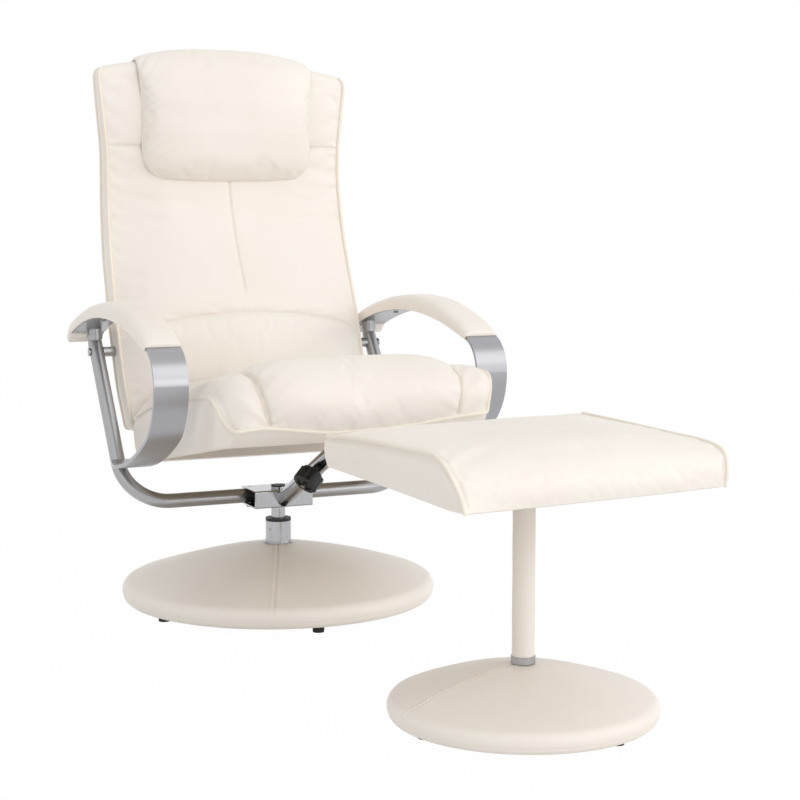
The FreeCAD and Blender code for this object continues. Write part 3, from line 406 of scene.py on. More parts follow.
coverCloth = leatherette("creamLeatherette", "#F0E9E0", "#EDE5DB", 2.2, 0.16)
pipingCloth = leatherette("creamPiping", "#F0E8DA", "#ECE3D4", 1.8, 0.10)
seamThread = mouldedFinish("polyesterThread", "#E4DACA", "#DCD1C0", 0.6, 0.8, 0.1)
satinSteel = brushedMetal("satinSteel", "#B4B4B5", "#A9A9AA", 0.34, (1.0, 1.0, 1.0), 1.4)
strapSteel = brushedMetal("brushedStrapSteel", "#ABABAF", "#A8A8AC", 0.31, (1.0, 0.04, 0.04), 0.5)
chromePlate = brushedMetal("chromePlate", "#B9B9BB", "#B0B0B3", 0.17, (1.0, 1.0, 1.0), 3.0)
zincSteel = brushedMetal("zincPlatedSteel", "#A7A8A6", "#92938F", 0.36, (1.0, 1.0, 1.0), 4.0)
blackPlastic = mouldedFinish("blackNylon", "#17171A", "#1E1E21", 0.46, 0.9, 0.06)
blackRubber = mouldedFinish("blackRubber", "#151515", "#1D1C1B", 0.7, 1.4, 0.1)
bushPlastic = mouldedFinish("naturalAcetal", "#D9D6CC", "#CFCBC0", 0.4, 1.2, 0.04)
plyBoard = mouldedFinish("birchPlywood", "#B08B5E", "#9A764B", 0.6, 6.0, 0.1)
pressedBoard = mouldedFinish("particleBoard", "#A48D6B", "#8B7350", 0.8, 3.0, 0.3)
dustCloth = mouldedFinish("nonwovenCloth", "#CDBFA8", "#BCAD94", 0.85, 1.6, 0.2)

finishes = {"leatherette": coverCloth, "satin_steel": satinSteel, "chrome": chromePlate,
            "black_plastic": blackPlastic, "black_rubber": blackRubber, "wood_board": plyBoard,
            "zinc_steel": zincSteel, "dust_cloth": dustCloth, "base_core": pressedBoard,
            "bush_plastic": bushPlastic}
for entry in frame["record"]["subparts"]:
    finish = finishes[entry["material_slot"]]
    if entry["node"].startswith("arm_strap"):
        finish = strapSteel
    shape = cad[entry["node"]].data
    shape.materials.clear()
    shape.materials.append(finish)
print("materials set")


# In the pieces below, tables are (shares or places, values, blur), dips are (depth, width), waves are
# (depth, lengths, seed), ripples are (depth, step, slant, sway, its run), stuff is (pressure, slack, cap)
# and close is (width, gain) of the closer grid lines.

# Backrest: one stuffed body. s runs up the piping in side view, n stands in front of it, x runs across.
back = {"startY": 134.0, "startZ": 327.0, "rise": 69.0, "low": 295.0, "bend": 500.0, "high": 158.0,
        "top": 625.0, "halfWide": 231.0, "swell": 55.0, "depth": 48.0, "sideBulge": 4.0, "rearCrown": 14.0,
        "frontSquare": 7, "rearSquare": 8, "arch": 22.0, "archPower": 2.2, "archFrom": 0.8, "archOver": 0.17,
        "lean": 4.0, "endRound": 20.0, "endRings": 10, "cornerShrink": 0.07,
        "lumbar": 173.5, "lumbarDrop": 12.0, "lumbarHalf": 162.0, "headSeam": 505.0, "centreLow": 210.0,
        "lumbarDip": ((2.0, 11.0), (2.6, 2.6)), "headDip": ((1.2, 8.0), (2.2, 2.4)),
        "centreDip": ((0.9, 7.0), (2.4, 2.2)), "rearDip": (1.4, 2.8),
        "pleats": (1.1, 33.0, 0.55, 2.0, 61.0), "pleatReach": 26.0, "pleatLow": 200.0, "pleatOver": 80.0,
        "waves": (0.6, (150.0, 95.0, 72.0, 58.0, 44.0), 5), "sideWaves": (0.6, (120.0, 70.0, 45.0), 8),
        "rearWaves": (0.8, (170.0, 110.0, 80.0), 9), "facing": (0.0, -1.0, 0.0), "stuff": (3.0, 0.006, 3.5),
        "rows": 210, "cols": 150, "sideCols": 10, "closeCols": (0.045, 4.0), "closeRows": (8.0, 2.6),
        "lumbarRows": (159.0, 171.0), "piping": 3.2, "pipingOut": 1.2, "pipingProud": 0.5, "pipingRows": 220,
        "pipingLow": 5, "pipingHigh": 7,
        "wide": ([0.0, 0.1, 0.3, 0.5, 0.72, 0.8, 0.92, 0.985, 1.0],
                 [0.985, 1.0, 1.005, 0.99, 0.97, 0.975, 1.01, 1.03, 1.03], 0.03),
        "full": ([0.0, 0.1, 0.2, 0.27, 0.31, 0.5, 0.66, 0.76, 0.92, 1.0],
                 [0.3, 0.74, 0.98, 0.92, 0.9, 0.55, 0.31, 0.22, 0.2, 0.12], 0.035),
        "deep": ([0.0, 0.1, 0.5, 0.7, 0.8, 0.92, 1.0], [0.82, 1.0, 1.0, 0.92, 0.84, 0.74, 0.6], 0.03)}
backRun = back["low"] + back["bend"] * math.radians(90.0 - back["rise"]) + back["high"]


# side view of the piping: a straight, an arc and a straight; gives the place and the way towards the sitter
def backLine(s):
    rise = math.radians(back["rise"])
    most = math.pi / 2 - rise
    turn = rise + np.clip((s - back["low"]) / back["bend"], 0.0, most)
    first = np.minimum(s, back["low"])
    last = np.maximum(s - back["low"] - back["bend"] * most, 0.0)
    bendY = back["bend"] * (np.sin(turn) - math.sin(rise))
    bendZ = back["bend"] * (np.cos(turn) - math.cos(rise))
    y = back["startY"] + first * math.cos(rise) + bendY + last * np.cos(turn)
    z = back["startZ"] + first * math.sin(rise) - bendZ + last * np.sin(turn)
    return y, z, -np.sin(turn), np.cos(turn)


def backWide(s):  # half the width
    return back["halfWide"] * softShare(s / backRun, *back["wide"])


def backSwell(s):  # how far the front stands out in the middle
    return back["swell"] * softShare(s / backRun, *back["full"])


def backDeep(s):  # share of the full depth
    return softShare(s / backRun, *back["deep"])


# a place in the room; the top edge is arched, and its corner on the sitter's right stands a little higher
def layBack(x, n, s):
    across = x / back["halfWide"]
    arch = back["arch"] * np.maximum(1.0 - np.abs(across)**back["archPower"], 0.0) - back["lean"] * across
    nearTop = ease((s - back["archFrom"] * backRun) / (back["archOver"] * backRun))
    y, z, outY, outZ = backLine(s + arch * nearTop)
    return np.stack([x, y + n * outY, z + n * outZ], -1)


def lumbarLine(x):  # the seam above the lumbar roll: a parabola that drops towards the sides
    return back["lumbar"] - back["lumbarDrop"] * (x / back["lumbarHalf"])**2


# millimetres inwards on the front panel: two seams across, one up the middle, pleats at the edges, slow waves
def backSeams(x, s):
    sunk = seamDip(s - lumbarLine(x), *back["lumbarDip"]) + seamDip(s - back["headSeam"], *back["headDip"])
    upright = ease((s - back["centreLow"]) / 14.0) * ease((back["headSeam"] - s) / 4.0)  # fades at its ends
    sunk = sunk + seamDip(x, *back["centreDip"]) * upright
    edge = backWide(s) - np.abs(x)
    pleats = ripples(s, edge, *back["pleats"]) * np.exp(-edge / back["pleatReach"])
    sunk = sunk + pleats * ease((s - back["pleatLow"]) / back["pleatOver"])
    return sunk + slowWaves(x * 0.6, s * 1.6, *back["waves"])


# rows beyond an end of the back: they shrink to the middle of its thickness along a quarter circle
def backEnd(row, s, sign):
    outY, outZ = (float(part) for part in backLine(np.array(s))[2:])
    base = layBack(row[:, 0], 0.0 * row[:, 0], s)
    n = (row[:, 1] - base[:, 1]) * outY + (row[:, 2] - base[:, 2]) * outZ
    middle = -back["depth"] * float(backDeep(np.array(s))) / 2.0
    rings = []
    for angle in np.linspace(0.0, math.pi / 2, back["endRings"] + 1)[1:]:
        x = row[:, 0] * (1.0 - back["cornerShrink"] * (1.0 - math.cos(angle)))
        ring = layBack(x, middle + (n - middle) * math.cos(angle), s)
        ring[:, 1:] += sign * back["endRound"] * math.sin(angle) * np.array([outZ, -outY])
        rings.append(ring)
    return np.array(rings)


# front, sides and rear as one closed loop for each s, with both ends rounded
def backRest():
    t = crowded(-1.0, 1.0, back["cols"], (-1.0, 0.0, 1.0), *back["closeCols"])
    s = crowded(0.0, back["top"], back["rows"], (*back["lumbarRows"], back["headSeam"]), *back["closeRows"])
    tGrid, sGrid = np.meshgrid(t, s)
    x = tGrid * backWide(sGrid)
    front = layBack(x, backSwell(sGrid) * crossFull(tGrid, back["frontSquare"]), sGrid)
    held = (np.abs(tGrid) > 0.985) | (sGrid < 8.0) | (sGrid > back["top"] - 12.0)  # sewn edges
    held = held | (np.abs(sGrid - lumbarLine(x)) < 4.0) | (np.abs(sGrid - back["headSeam"]) < 3.0)
    front = stuffGrid(front, held, back["facing"], *back["stuff"])
    front = sinkIn(front, back["facing"], backSeams(x, sGrid) * ease((1.0 - np.abs(tGrid)) / 0.05))

    q = np.linspace(0.0, 1.0, back["sideCols"] + 2)[1:-1]
    qGrid, sSide = np.meshgrid(q, s)
    deep = back["depth"] * backDeep(sSide)
    bulge = back["sideBulge"] * np.sin(math.pi * qGrid) + slowWaves(sSide, qGrid * 40.0, *back["sideWaves"])
    left = layBack(backWide(sSide) + bulge, -deep * qGrid, sSide)
    right = layBack(-backWide(sSide) - bulge, -deep * qGrid[:, ::-1], sSide)
    tBack = tGrid[:, ::-1]
    crown = back["rearCrown"] * crossFull(tBack, back["rearSquare"])
    dip, dipWide = back["rearDip"]
    seam = dip * groove(sGrid - back["headSeam"], dipWide) * ease((1.0 - np.abs(tBack)) / 0.04)
    rearN = seam - (back["depth"] + crown) * backDeep(sGrid)
    rearN = rearN + slowWaves(tBack * 140.0, sGrid * 1.4, *back["rearWaves"])
    rear = layBack(tBack * backWide(sGrid), rearN, sGrid)
    body = np.concatenate([front, left, rear, right], axis=1)
    body = np.concatenate([backEnd(body[0], 0.0, -1)[::-1], body, backEnd(body[-1], back["top"], 1)])
    piece = makePiece("backrestPad", [(body, True)], "backrest", coverCloth, 60.0)
    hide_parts("back_cushion", "back_shell")

    s = np.linspace(0.0, back["top"], back["pipingRows"])
    for side, name in ((-1, "right"), (1, "left")):
        for label, n in (("front", back["pipingProud"]), ("rear", -back["depth"] * backDeep(s))):
            path = layBack(side * (backWide(s) + back["pipingOut"]), n, s)
            low = backEnd(path[:1], 0.0, -1)[:back["pipingLow"], 0][::-1]
            high = backEnd(path[-1:], back["top"], 1)[:back["pipingHigh"], 0]
            path = np.concatenate([low, path, high])
            makePiping("backPiping_" + label + "_" + name, path, "backrest", pipingCloth, back["piping"])


backRest()
print("backrest made")


# Head pillow: a stuffed pad that lies on the back's front and folds over its top.
# Its edge follows the spots, (s, n) of the back; the front stands proud of that edge, the rear only a little.
pillow = {"halfWide": 162.0, "corner": 42.0, "cornerRun": 50.0, "lowRound": 15.0, "highRound": 6.0, "rear": 5.0,
          "shoulder": 0.62, "crown": 0.78, "bow": 5.0, "bowHalf": 140.0, "bowRun": 70.0,
          "archDrop": 24.0, "dropFrom": 0.3, "dropOver": 0.2, "rows": 210, "cols": 120,
          "gather": 4.6, "gatherStep": 21.0, "gatherSlant": 0.8, "gatherSway": 5.0, "gatherPower": 2.5,
          "leftGather": 0.4, "leftReach": 9.0, "rightReach": 19.0, "reachSway": 8.0, "gatherTop": 255.0,
          "waves": (0.9, (140.0, 90.0, 66.0, 52.0), 3), "facing": (0.0, -1.0, 0.3),
          "stuff": (3.0, 0.012, 4.0), "seam": 1.3, "seamOut": 0.4,
          "spots": [(444, 13), (480, 13), (540, 12), (600, 12), (636, 13), (656, 9), (668, -3), (672, -20),
                    (667, -38), (650, -49), (620, -53), (575, -56)],
          "wide": ([0.0, 0.2, 0.45, 0.6, 0.75, 1.0], [1.0, 1.0, 1.0, 1.035, 1.02, 0.95], 0.04),
          "thick": ([0.0, 0.05, 0.12, 0.25, 0.4, 0.5, 0.58, 0.66, 0.8, 1.0],
                    [15.0, 30.0, 38.0, 42.0, 39.0, 31.0, 20.0, 10.0, 8.0, 7.0], 0.03)}


# two faces over the edge line: across it the height of each is half a round with full shoulders
def headPillow():
    s, n = np.array(pillow["spots"], float).T
    y, z, outY, outZ = backLine(s)
    line = chordLine(np.stack([y + n * outY, z + n * outZ], -1), pillow["rows"])
    run = runAlong(line)
    share = run / run[-1]
    ends = roundOff(run / pillow["lowRound"]) * roundOff((run[-1] - run) / pillow["highRound"])
    thick = softShare(share, *pillow["thick"]) * ends
    wide = pillow["halfWide"] * softShare(share, *pillow["wide"])
    wide = wide - pillow["corner"] * (1.0 - roundOff(run / pillow["cornerRun"]))
    slope = np.gradient(line, axis=0)
    slope /= np.linalg.norm(slope, axis=1, keepdims=True)
    noX = np.zeros((pillow["rows"], 1))
    tangent = np.concatenate([noX, slope], 1)
    normal = np.concatenate([noX, -slope[:, 1:], slope[:, :1]], 1)
    middle = np.concatenate([noX, line], 1)
    across, lift = flatRound(pillow["cols"], pillow["shoulder"], pillow["crown"])
    x = wide[:, None] * across[None, :]
    bow = pillow["bow"] * (1.0 - (x / pillow["bowHalf"])**2) * ease(1.0 - run / pillow["bowRun"])[:, None]
    offMiddle = x / back["halfWide"]
    drop = pillow["archDrop"] * np.abs(offMiddle)**back["archPower"] + back["lean"] * offMiddle
    drop = drop * ease((share - pillow["dropFrom"]) / pillow["dropOver"])[:, None]

    def face(height):  # the edge line, lifted along its normal, bowed at the foot and dropped to the arch
        place = middle[:, None] + normal[:, None] * (height[:, None] * lift[None, :])[..., None]
        place = place - tangent[:, None] * bow[..., None]
        place[..., 0] = x
        place[..., 2] -= drop
        return place

    front, rear = face(thick), face(-pillow["rear"] * ends)
    held = np.zeros(x.shape, bool)
    held[:3] = held[-30:] = held[:, :2] = held[:, -2:] = True  # the edge, and the flap behind the back
    front = stuffGrid(front, held, pillow["facing"], *pillow["stuff"])
    edge = wide[:, None] - np.abs(x)
    along = np.broadcast_to(run[:, None], x.shape)
    onRight = x < 0
    # gathers: narrow valleys that run inwards and upwards from the edge, deeper on the sitter's right
    fan = along - pillow["gatherSlant"] * edge + pillow["gatherSway"] * np.sin(along / 23.0)
    fan = (0.5 + 0.5 * np.cos(2 * math.pi * fan / pillow["gatherStep"]))**pillow["gatherPower"]
    reach = pillow["rightReach"] + pillow["reachSway"] * np.sin(along / 17.0)
    reach = np.where(onRight, reach, pillow["leftReach"])
    deep = pillow["gather"] * np.where(onRight, 1.0, pillow["leftGather"])
    sunk = deep * fan * np.exp(-edge / reach) * ease(edge / 3.0)
    sunk = sunk * ease((along - 18.0) / 25.0) * ease((pillow["gatherTop"] - along) / 50.0)  # none at the foot
    sunk = sunk + slowWaves(x, along, *pillow["waves"]) * ease(edge / 30.0)
    front = front - normal[:, None] * sunk[..., None]
    loop = np.concatenate([front, rear[:, ::-1][:, 1:-1]], 1)
    piece = makePiece("headPillow", [(loop, True)], "backrest", coverCloth, 80.0)
    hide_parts("head_pillow", "pillow_flap")
    for column, side, name in ((0, -1, "right"), (-1, 1, "left")):
        path = rear[8:-4, column] + (side * pillow["seamOut"], 0.0, 0.0)
        makePiping("pillowSeam_" + name, path, "backrest", coverCloth, pillow["seam"])


headPillow()
print("head pillow made")


# Seat: a top panel of a middle roll and two side lobes, piping round it, a boxing band and a hem under it.
# The profiles are (y, z) in side view; the lobe on the sitter's left is the fuller one.
seat = {"halfWide": 228.0, "frontWide": 214.0, "noseFrom": 0.86, "length": 600.0, "seam": 0.738,
        "seamRight": 0.61, "seamLeft": 0.42, "roundRight": 3.2, "roundLeft": 6.0, "lobeLift": 0.05,
        "rollSquare": 6, "rollRound": 0.62, "lowRear": 249.0, "rear": 112.0, "tilt": 10.3, "lowPull": 0.975,
        "rows": 180, "cols": 180, "close": (0.035, 3.0), "facing": (0.0, -0.3, 1.0), "stuff": (3.0, 0.006, 3.5),
        "seamDip": ((1.4, 5.0), (2.8, 2.2)), "edgeDip": (1.8, 2.6), "edgeDipAt": 5.0,
        "lobeRipples": (1.5, 46.0, 1.3, 1.4, 37.0), "lobeReach": 34.0,
        "rollRipples": (1.6, 31.0, -0.8, 1.0, 50.0), "rollReach": 26.0,
        "hemRipples": (1.4, 58.0, 0.35, 1.0, 40.0), "hemReach": 24.0,
        "waves": (0.8, (160.0, 105.0, 74.0, 56.0), 21),
        "band": {"rows": 12, "closeAt": 0.05, "close": (0.07, 5.0), "swell": 4.5, "dip": (3.2, 0.07, 0.04),
                 "rimDown": 1.2, "rimIn": 3.0},
        "middleY": -130.0, "boardX": 203.5, "boardY": (-347.0, 87.0), "boardUp": 38.0,
        "piping": 3.4, "pipingRows": 420, "pipingGuide": (0.0, 0.35, 1.0), "pipingBlur": 9,
        "rightSide": [(112, 328), (60, 345), (-2, 362), (-100, 380), (-208, 396), (-282, 406), (-317, 408),
                      (-339, 403), (-353, 394), (-361, 382), (-369, 370), (-381, 362), (-398, 359)],
        "leftSide": [(112, 328), (60, 345), (-2, 362), (-100, 383), (-208, 406), (-287, 424), (-338, 435),
                     (-372, 431), (-390, 412), (-394, 390), (-394, 372)],
        "middle": [(112, 386), (40, 397), (-60, 406), (-150, 418), (-240, 443), (-325, 463), (-384, 452),
                   (-415, 419), (-418, 388), (-402, 355)],
        "front": ([-216.0, -173.0, -110.0, -59.0, 50.0, 158.0, 213.0],
                  [362.0, 369.0, 361.0, 355.0, 358.0, 370.0, 373.0], 22.0),
        "hem": ([-440.0, -402.0, -330.0, 112.0], [-368.0, -362.0, -316.0, 108.0])}


def seatLow(y):  # height of the hem: a straight line, rising to the front
    return seat["lowRear"] + (seat["rear"] - y) * math.tan(math.radians(seat["tilt"]))


# millimetres inwards on the seat's panel: the seams beside the roll, a dip along the piping, and creases
def seatSeams(x, v, a):
    off = (a - seat["seam"]) * seat["halfWide"]
    edge = (1.0 - a) * seat["halfWide"]
    run, hem = v * seat["length"], (1.0 - v) * seat["length"]
    sunk = seamDip(off, *seat["seamDip"]) * (0.45 + 0.55 * ease((v - 0.4) / 0.25))
    sunk = sunk + seat["edgeDip"][0] * groove(edge - seat["edgeDipAt"], seat["edgeDip"][1])
    inLobe = ease(off / 12.0) * ease((1.0 - a) / 0.03) * np.exp(-np.abs(off) / seat["lobeReach"])
    sunk = sunk + ripples(run, off, *seat["lobeRipples"]) * inLobe * ease((v - 0.62) / 0.1)
    byRoll = ease(-off / 6.0) * np.exp(np.minimum(off, 0.0) / seat["rollReach"])
    sunk = sunk + ripples(run, off, *seat["rollRipples"]) * byRoll * ease((v - 0.55) / 0.2)
    sunk = sunk + ripples(x, hem, *seat["hemRipples"]) * np.exp(-hem / seat["hemReach"]) * ease(hem / 8.0)
    sunk = sunk + slowWaves(x, run * 0.8, *seat["waves"])
    return sunk * ease((1.0 - a) / 0.02) * ease((1.0 - v) / 0.015)


# the panel's fullness is a squared roll between the seams and a falling lobe beside each; the band closes it
def seatPad():
    seam = seat["seam"]
    v = np.linspace(0.0, 1.0, seat["rows"])
    u = crowded(-1.0, 1.0, seat["cols"], (-1.0, -seam, seam, 1.0), *seat["close"])
    a, onLeft = np.abs(u), u > 0
    seamLift = np.where(onLeft, seat["seamLeft"], seat["seamRight"])
    roll = np.maximum(1.0 - np.minimum(a / seam, 1.0)**seat["rollSquare"], 0.0)**seat["rollRound"]
    q = np.clip((a - seam) / (1.0 - seam), 0.0, 1.0)
    lobe = seamLift * (1.0 - q**np.where(onLeft, seat["roundLeft"], seat["roundRight"]))
    lobe = lobe + seat["lobeLift"] * np.sin(math.pi * q)
    full = np.where(a < seam, seamLift + (1.0 - seamLift) * roll, lobe)
    full[[0, -1]] = 0.0
    nose = ease((v - seat["noseFrom"]) / (1.0 - seat["noseFrom"]))
    panel = layPanel(seat, u, full, seat["halfWide"] - (seat["halfWide"] - seat["frontWide"]) * nose)
    frontEdge = softShare(panel[-1, :, 0], *seat["front"])
    panel[..., 2] += (frontEdge - panel[-1, :, 2])[None, :] * nose[:, None]
    x = panel[..., 0]
    vGrid, aGrid = np.broadcast_to(v[:, None], x.shape), np.broadcast_to(a[None, :], x.shape)
    held = (aGrid > 0.99) | (vGrid < 0.01) | (vGrid > 0.99) | (np.abs(aGrid - seam) < 0.012)  # sewn edges
    panel = stuffGrid(panel, held, seat["facing"], *seat["stuff"])
    panel = sinkIn(panel, seat["facing"], seatSeams(x, vGrid, aGrid))

    ring = panelRing(panel)
    low = ring.copy()
    low[:, 0] *= seat["lowPull"]
    low[:, 1] = np.interp(ring[:, 1], *seat["hem"])
    low[:, 2] = seatLow(low[:, 1])
    away = (ring - (0.0, seat["middleY"], 0.0)) * (1.0, 1.0, 0.0)
    away /= np.linalg.norm(away, axis=1, keepdims=True)
    inner = low.copy()  # the recess that takes the board
    inner[:, 0] = np.clip(low[:, 0], -seat["boardX"], seat["boardX"])
    inner[:, 1] = np.clip(low[:, 1], *seat["boardY"])
    inner[:, 2] = seatLow(inner[:, 1])
    top = inner + (0.0, 0.0, seat["boardUp"])
    wall = np.array(boxingBand(ring, low, away, seat["band"]) + [inner, top])
    piece = makePiece("seatPad", [(panel, False), (wall, True)], "seat", coverCloth, 50.0, caps=(top,))
    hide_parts("seat_cushion")
    edge = np.concatenate([panel[4:, 0], panel[-1, 1:-1], panel[::-1, -1][:-4]])
    count = seat["pipingBlur"]
    smooth = [np.convolve(np.pad(edge[:, k], count // 2, "edge"), np.ones(count) / count, "valid")
              for k in range(3)]
    path = chordLine(np.stack(smooth, -1)[::4], seat["pipingRows"])
    makePiping("seatPiping", path, "seat", pipingCloth, seat["piping"], seat["pipingGuide"])


seatPad()
print("seat made")


# Arm pads: a loaf that follows the strap's top arc, lies over its edges and wraps its rear end.
# moves are the strap's runs from its lower end: (length, 0) or (radius, degrees). The pad lies on the last.
arms = {"startY": 57.886, "startZ": 262.0,
        "moves": [(24.0, 0.0), (525.0, 30.0), (107.0, 60.0), (58.0, 72.0), (750.0, 37.0)],
        "middleX": 278.0, "half": 33.0, "strapHalf": 28.6, "strapThick": 6.0, "thick": 21.5, "dropRound": 40.0,
        "past": 31.0, "wrap": 3.0, "wrapRun": 8.0, "rows": 130, "cols": 44, "close": (18.0, 5.0),
        "endRound": 6.0, "endNarrow": 0.14, "endLow": 0.5, "frontRound": 7.0, "frontLow": 0.55,
        "shoulder": 0.55, "crown": 0.62, "under": 0.6, "bedGap": 0.2, "bedEdge": 0.4,
        "waves": (0.5, (130.0, 80.0, 55.0), 14),
        "thickness": ([0.0, 0.05, 0.27, 0.48, 0.7, 0.88, 1.0], [0.3, 0.62, 1.0, 1.0, 0.9, 0.82, 0.8], 0.025),
        "width": ([0.0, 0.06, 0.3, 0.8, 1.0], [0.92, 0.97, 1.0, 1.0, 0.95], 0.03)}


# the last arc of the strap, then a tighter one that drops past its rear end:
# places, outward directions, lengths and the strap's own length
def strapTop(count):
    y, z, turn = arms["startY"], arms["startZ"], math.pi
    for size, bend in arms["moves"][:-1]:
        if bend == 0.0:
            y, z = y + size * math.cos(turn), z + size * math.sin(turn)
        else:
            midY, midZ = y + size * math.sin(turn), z - size * math.cos(turn)
            turn -= math.radians(bend)
            y, z = midY - size * math.sin(turn), midZ + size * math.cos(turn)
    size, bend = arms["moves"][-1]
    strapEnd = size * math.radians(bend)
    padEnd = strapEnd + arms["past"]
    length = crowded(0.0, padEnd, count, (0.0, padEnd), *arms["close"])
    first, last = np.minimum(length, strapEnd) / size, np.maximum(length - strapEnd, 0.0) / arms["dropRound"]
    endTurn, turns = turn - first, turn - first - last
    midY, midZ = y + size * math.sin(turn), z - size * math.cos(turn)
    placeY = midY - size * np.sin(endTurn) + arms["dropRound"] * (np.sin(endTurn) - np.sin(turns))
    placeZ = midZ + size * np.cos(endTurn) - arms["dropRound"] * (np.cos(endTurn) - np.cos(turns))
    return np.stack([placeY, placeZ], -1), np.stack([-np.sin(turns), np.cos(turns)], -1), length, strapEnd


# a section (x, height over the strap) carried along the strap: half a round above, a bed for the strap below
def armPads():
    place, out, length, strapEnd = strapTop(arms["rows"])
    share = length / length[-1]
    rearRound = roundOff((length[-1] - length) / arms["endRound"])
    frontRound = roundOff(length / arms["frontRound"])
    thick = arms["thick"] * softShare(share, *arms["thickness"])
    half = arms["half"] * softShare(share, *arms["width"])
    half = half * (1.0 - arms["endNarrow"] + arms["endNarrow"] * rearRound)
    across, lift = flatRound(arms["cols"], arms["shoulder"], arms["crown"])
    low, bed = -arms["strapThick"] / 2 + arms["under"], arms["strapThick"] / 2 + arms["bedGap"]
    top = np.zeros((arms["rows"], arms["cols"], 2))
    top[..., 0] = half[:, None] * across[None, :]
    top[..., 1] = low + (bed - low + thick[:, None]) * lift[None, :]
    top[..., 1] += slowWaves(top[..., 0], length[:, None], *arms["waves"]) * lift[None, :]
    corners = np.array([(1.0, low), (1.0, bed), (-1.0, bed), (-1.0, low)]) * (arms["strapHalf"], 1.0)
    inner = np.broadcast_to(corners[None], (arms["rows"], 4, 2)).copy()
    inner[..., 0] = np.minimum(np.abs(inner[..., 0]), half[:, None] - arms["bedEdge"]) * np.sign(inner[..., 0])
    # past the strap's end the bed closes: the cover lies a little under the strap's level
    closed = low - arms["wrap"] * roundOff((length - strapEnd) / arms["wrapRun"]) * rearRound
    inner[..., 1] = np.where((length > strapEnd + 0.6)[:, None], closed[:, None], inner[..., 1])
    loop = np.concatenate([top, inner], 1)
    crown = 1.0 - arms["endLow"] + arms["endLow"] * rearRound
    crown = crown * (1.0 - arms["frontLow"] + arms["frontLow"] * frontRound)
    loop[..., 1] -= np.maximum(loop[..., 1] - bed, 0.0) * (1.0 - crown)[:, None]
    for side, name in ((1, "left"), (-1, "right")):
        grid = np.zeros((*loop.shape[:2], 3))
        grid[..., 0] = side * (arms["middleX"] + loop[..., 0])
        grid[..., 1:] = place[:, None] + out[:, None] * loop[..., 1:2]
        piece = makePiece("armPad_" + name, [(grid, True)], "frame", coverCloth, 55.0, caps=(grid[0], grid[-1]))
        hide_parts("arm_pad_" + name)


armPads()
print("arm pads made")


# Covered bases: a low dome in leatherette with one stitched seam from the middle to the rim.
bases = {"chair": {"node": "base_cover", "body": "chair_base", "x": 0.0, "y": 0.0, "radius": 275.0,
                   "rim": 19.0, "top": 111.0, "bulge": 7.0, "hole": 22.8, "seam": 248.0},
         "stool": {"node": "stool_base_cover", "body": "footstool", "x": stoolX, "y": stoolY, "radius": 186.0,
                   "rim": 16.0, "top": 88.0, "bulge": 6.0, "hole": 14.3, "seam": 184.5}}
baseShape = {"low": 13.0, "shoulder": 70.0, "hem": 70.0, "skin": 1.6, "turns": 270, "close": (0.06, 8.0),
             "rings": 70, "seamWide": 1.8, "seamDeep": 1.3, "puff": 0.7, "puffAt": 5.0, "puffWide": 3.4,
             "waves": (0.5, (210.0, 140.0, 90.0), 17), "stitch": 5.0, "stitchShare": 0.66, "stitchApart": 9.0,
             "stitchFrom": 12.0, "stitchUp": 0.75, "stitchArch": 0.3, "thread": 0.45,
             "threadEnds": (0.6, 1.0, 1.0, 0.6)}


# radius and height from the hole over the dome, a chord with a parabola on it, round the rim and to the hem
def domeProfile(base):
    rimR, rimZ = base["radius"] - base["rim"], baseShape["low"] + base["rim"]
    angle = math.radians(baseShape["shoulder"])
    first = np.array([0.0, base["top"]])
    last = np.array([rimR + base["rim"] * math.cos(angle), rimZ + base["rim"] * math.sin(angle)])
    u = np.linspace(0.0, 1.0, baseShape["rings"])[:, None]
    dome = first + (last - first) * u + (0.0, base["bulge"]) * (4.0 * u * (1.0 - u))
    dome = dome[dome[:, 0] > base["hole"]]
    dome = np.concatenate([[[base["hole"], np.interp(base["hole"], dome[:, 0], dome[:, 1])]], dome])
    turn = np.linspace(angle, -math.pi / 2, 26)[1:]
    rim = np.stack([rimR + base["rim"] * np.cos(turn), rimZ + base["rim"] * np.sin(turn)], -1)
    hem = np.linspace(rimR, base["radius"] - baseShape["hem"], 6)[1:]
    under = np.stack([hem, np.full_like(hem, baseShape["low"])], -1)
    return np.concatenate([dome, rim, under]), dome


def spun(radius, height, turns):  # a profile carried round the upright axis
    radius = radius[:, None]
    return np.stack([radius * np.cos(turns), radius * np.sin(turns), height + 0.0 * turns], -1)


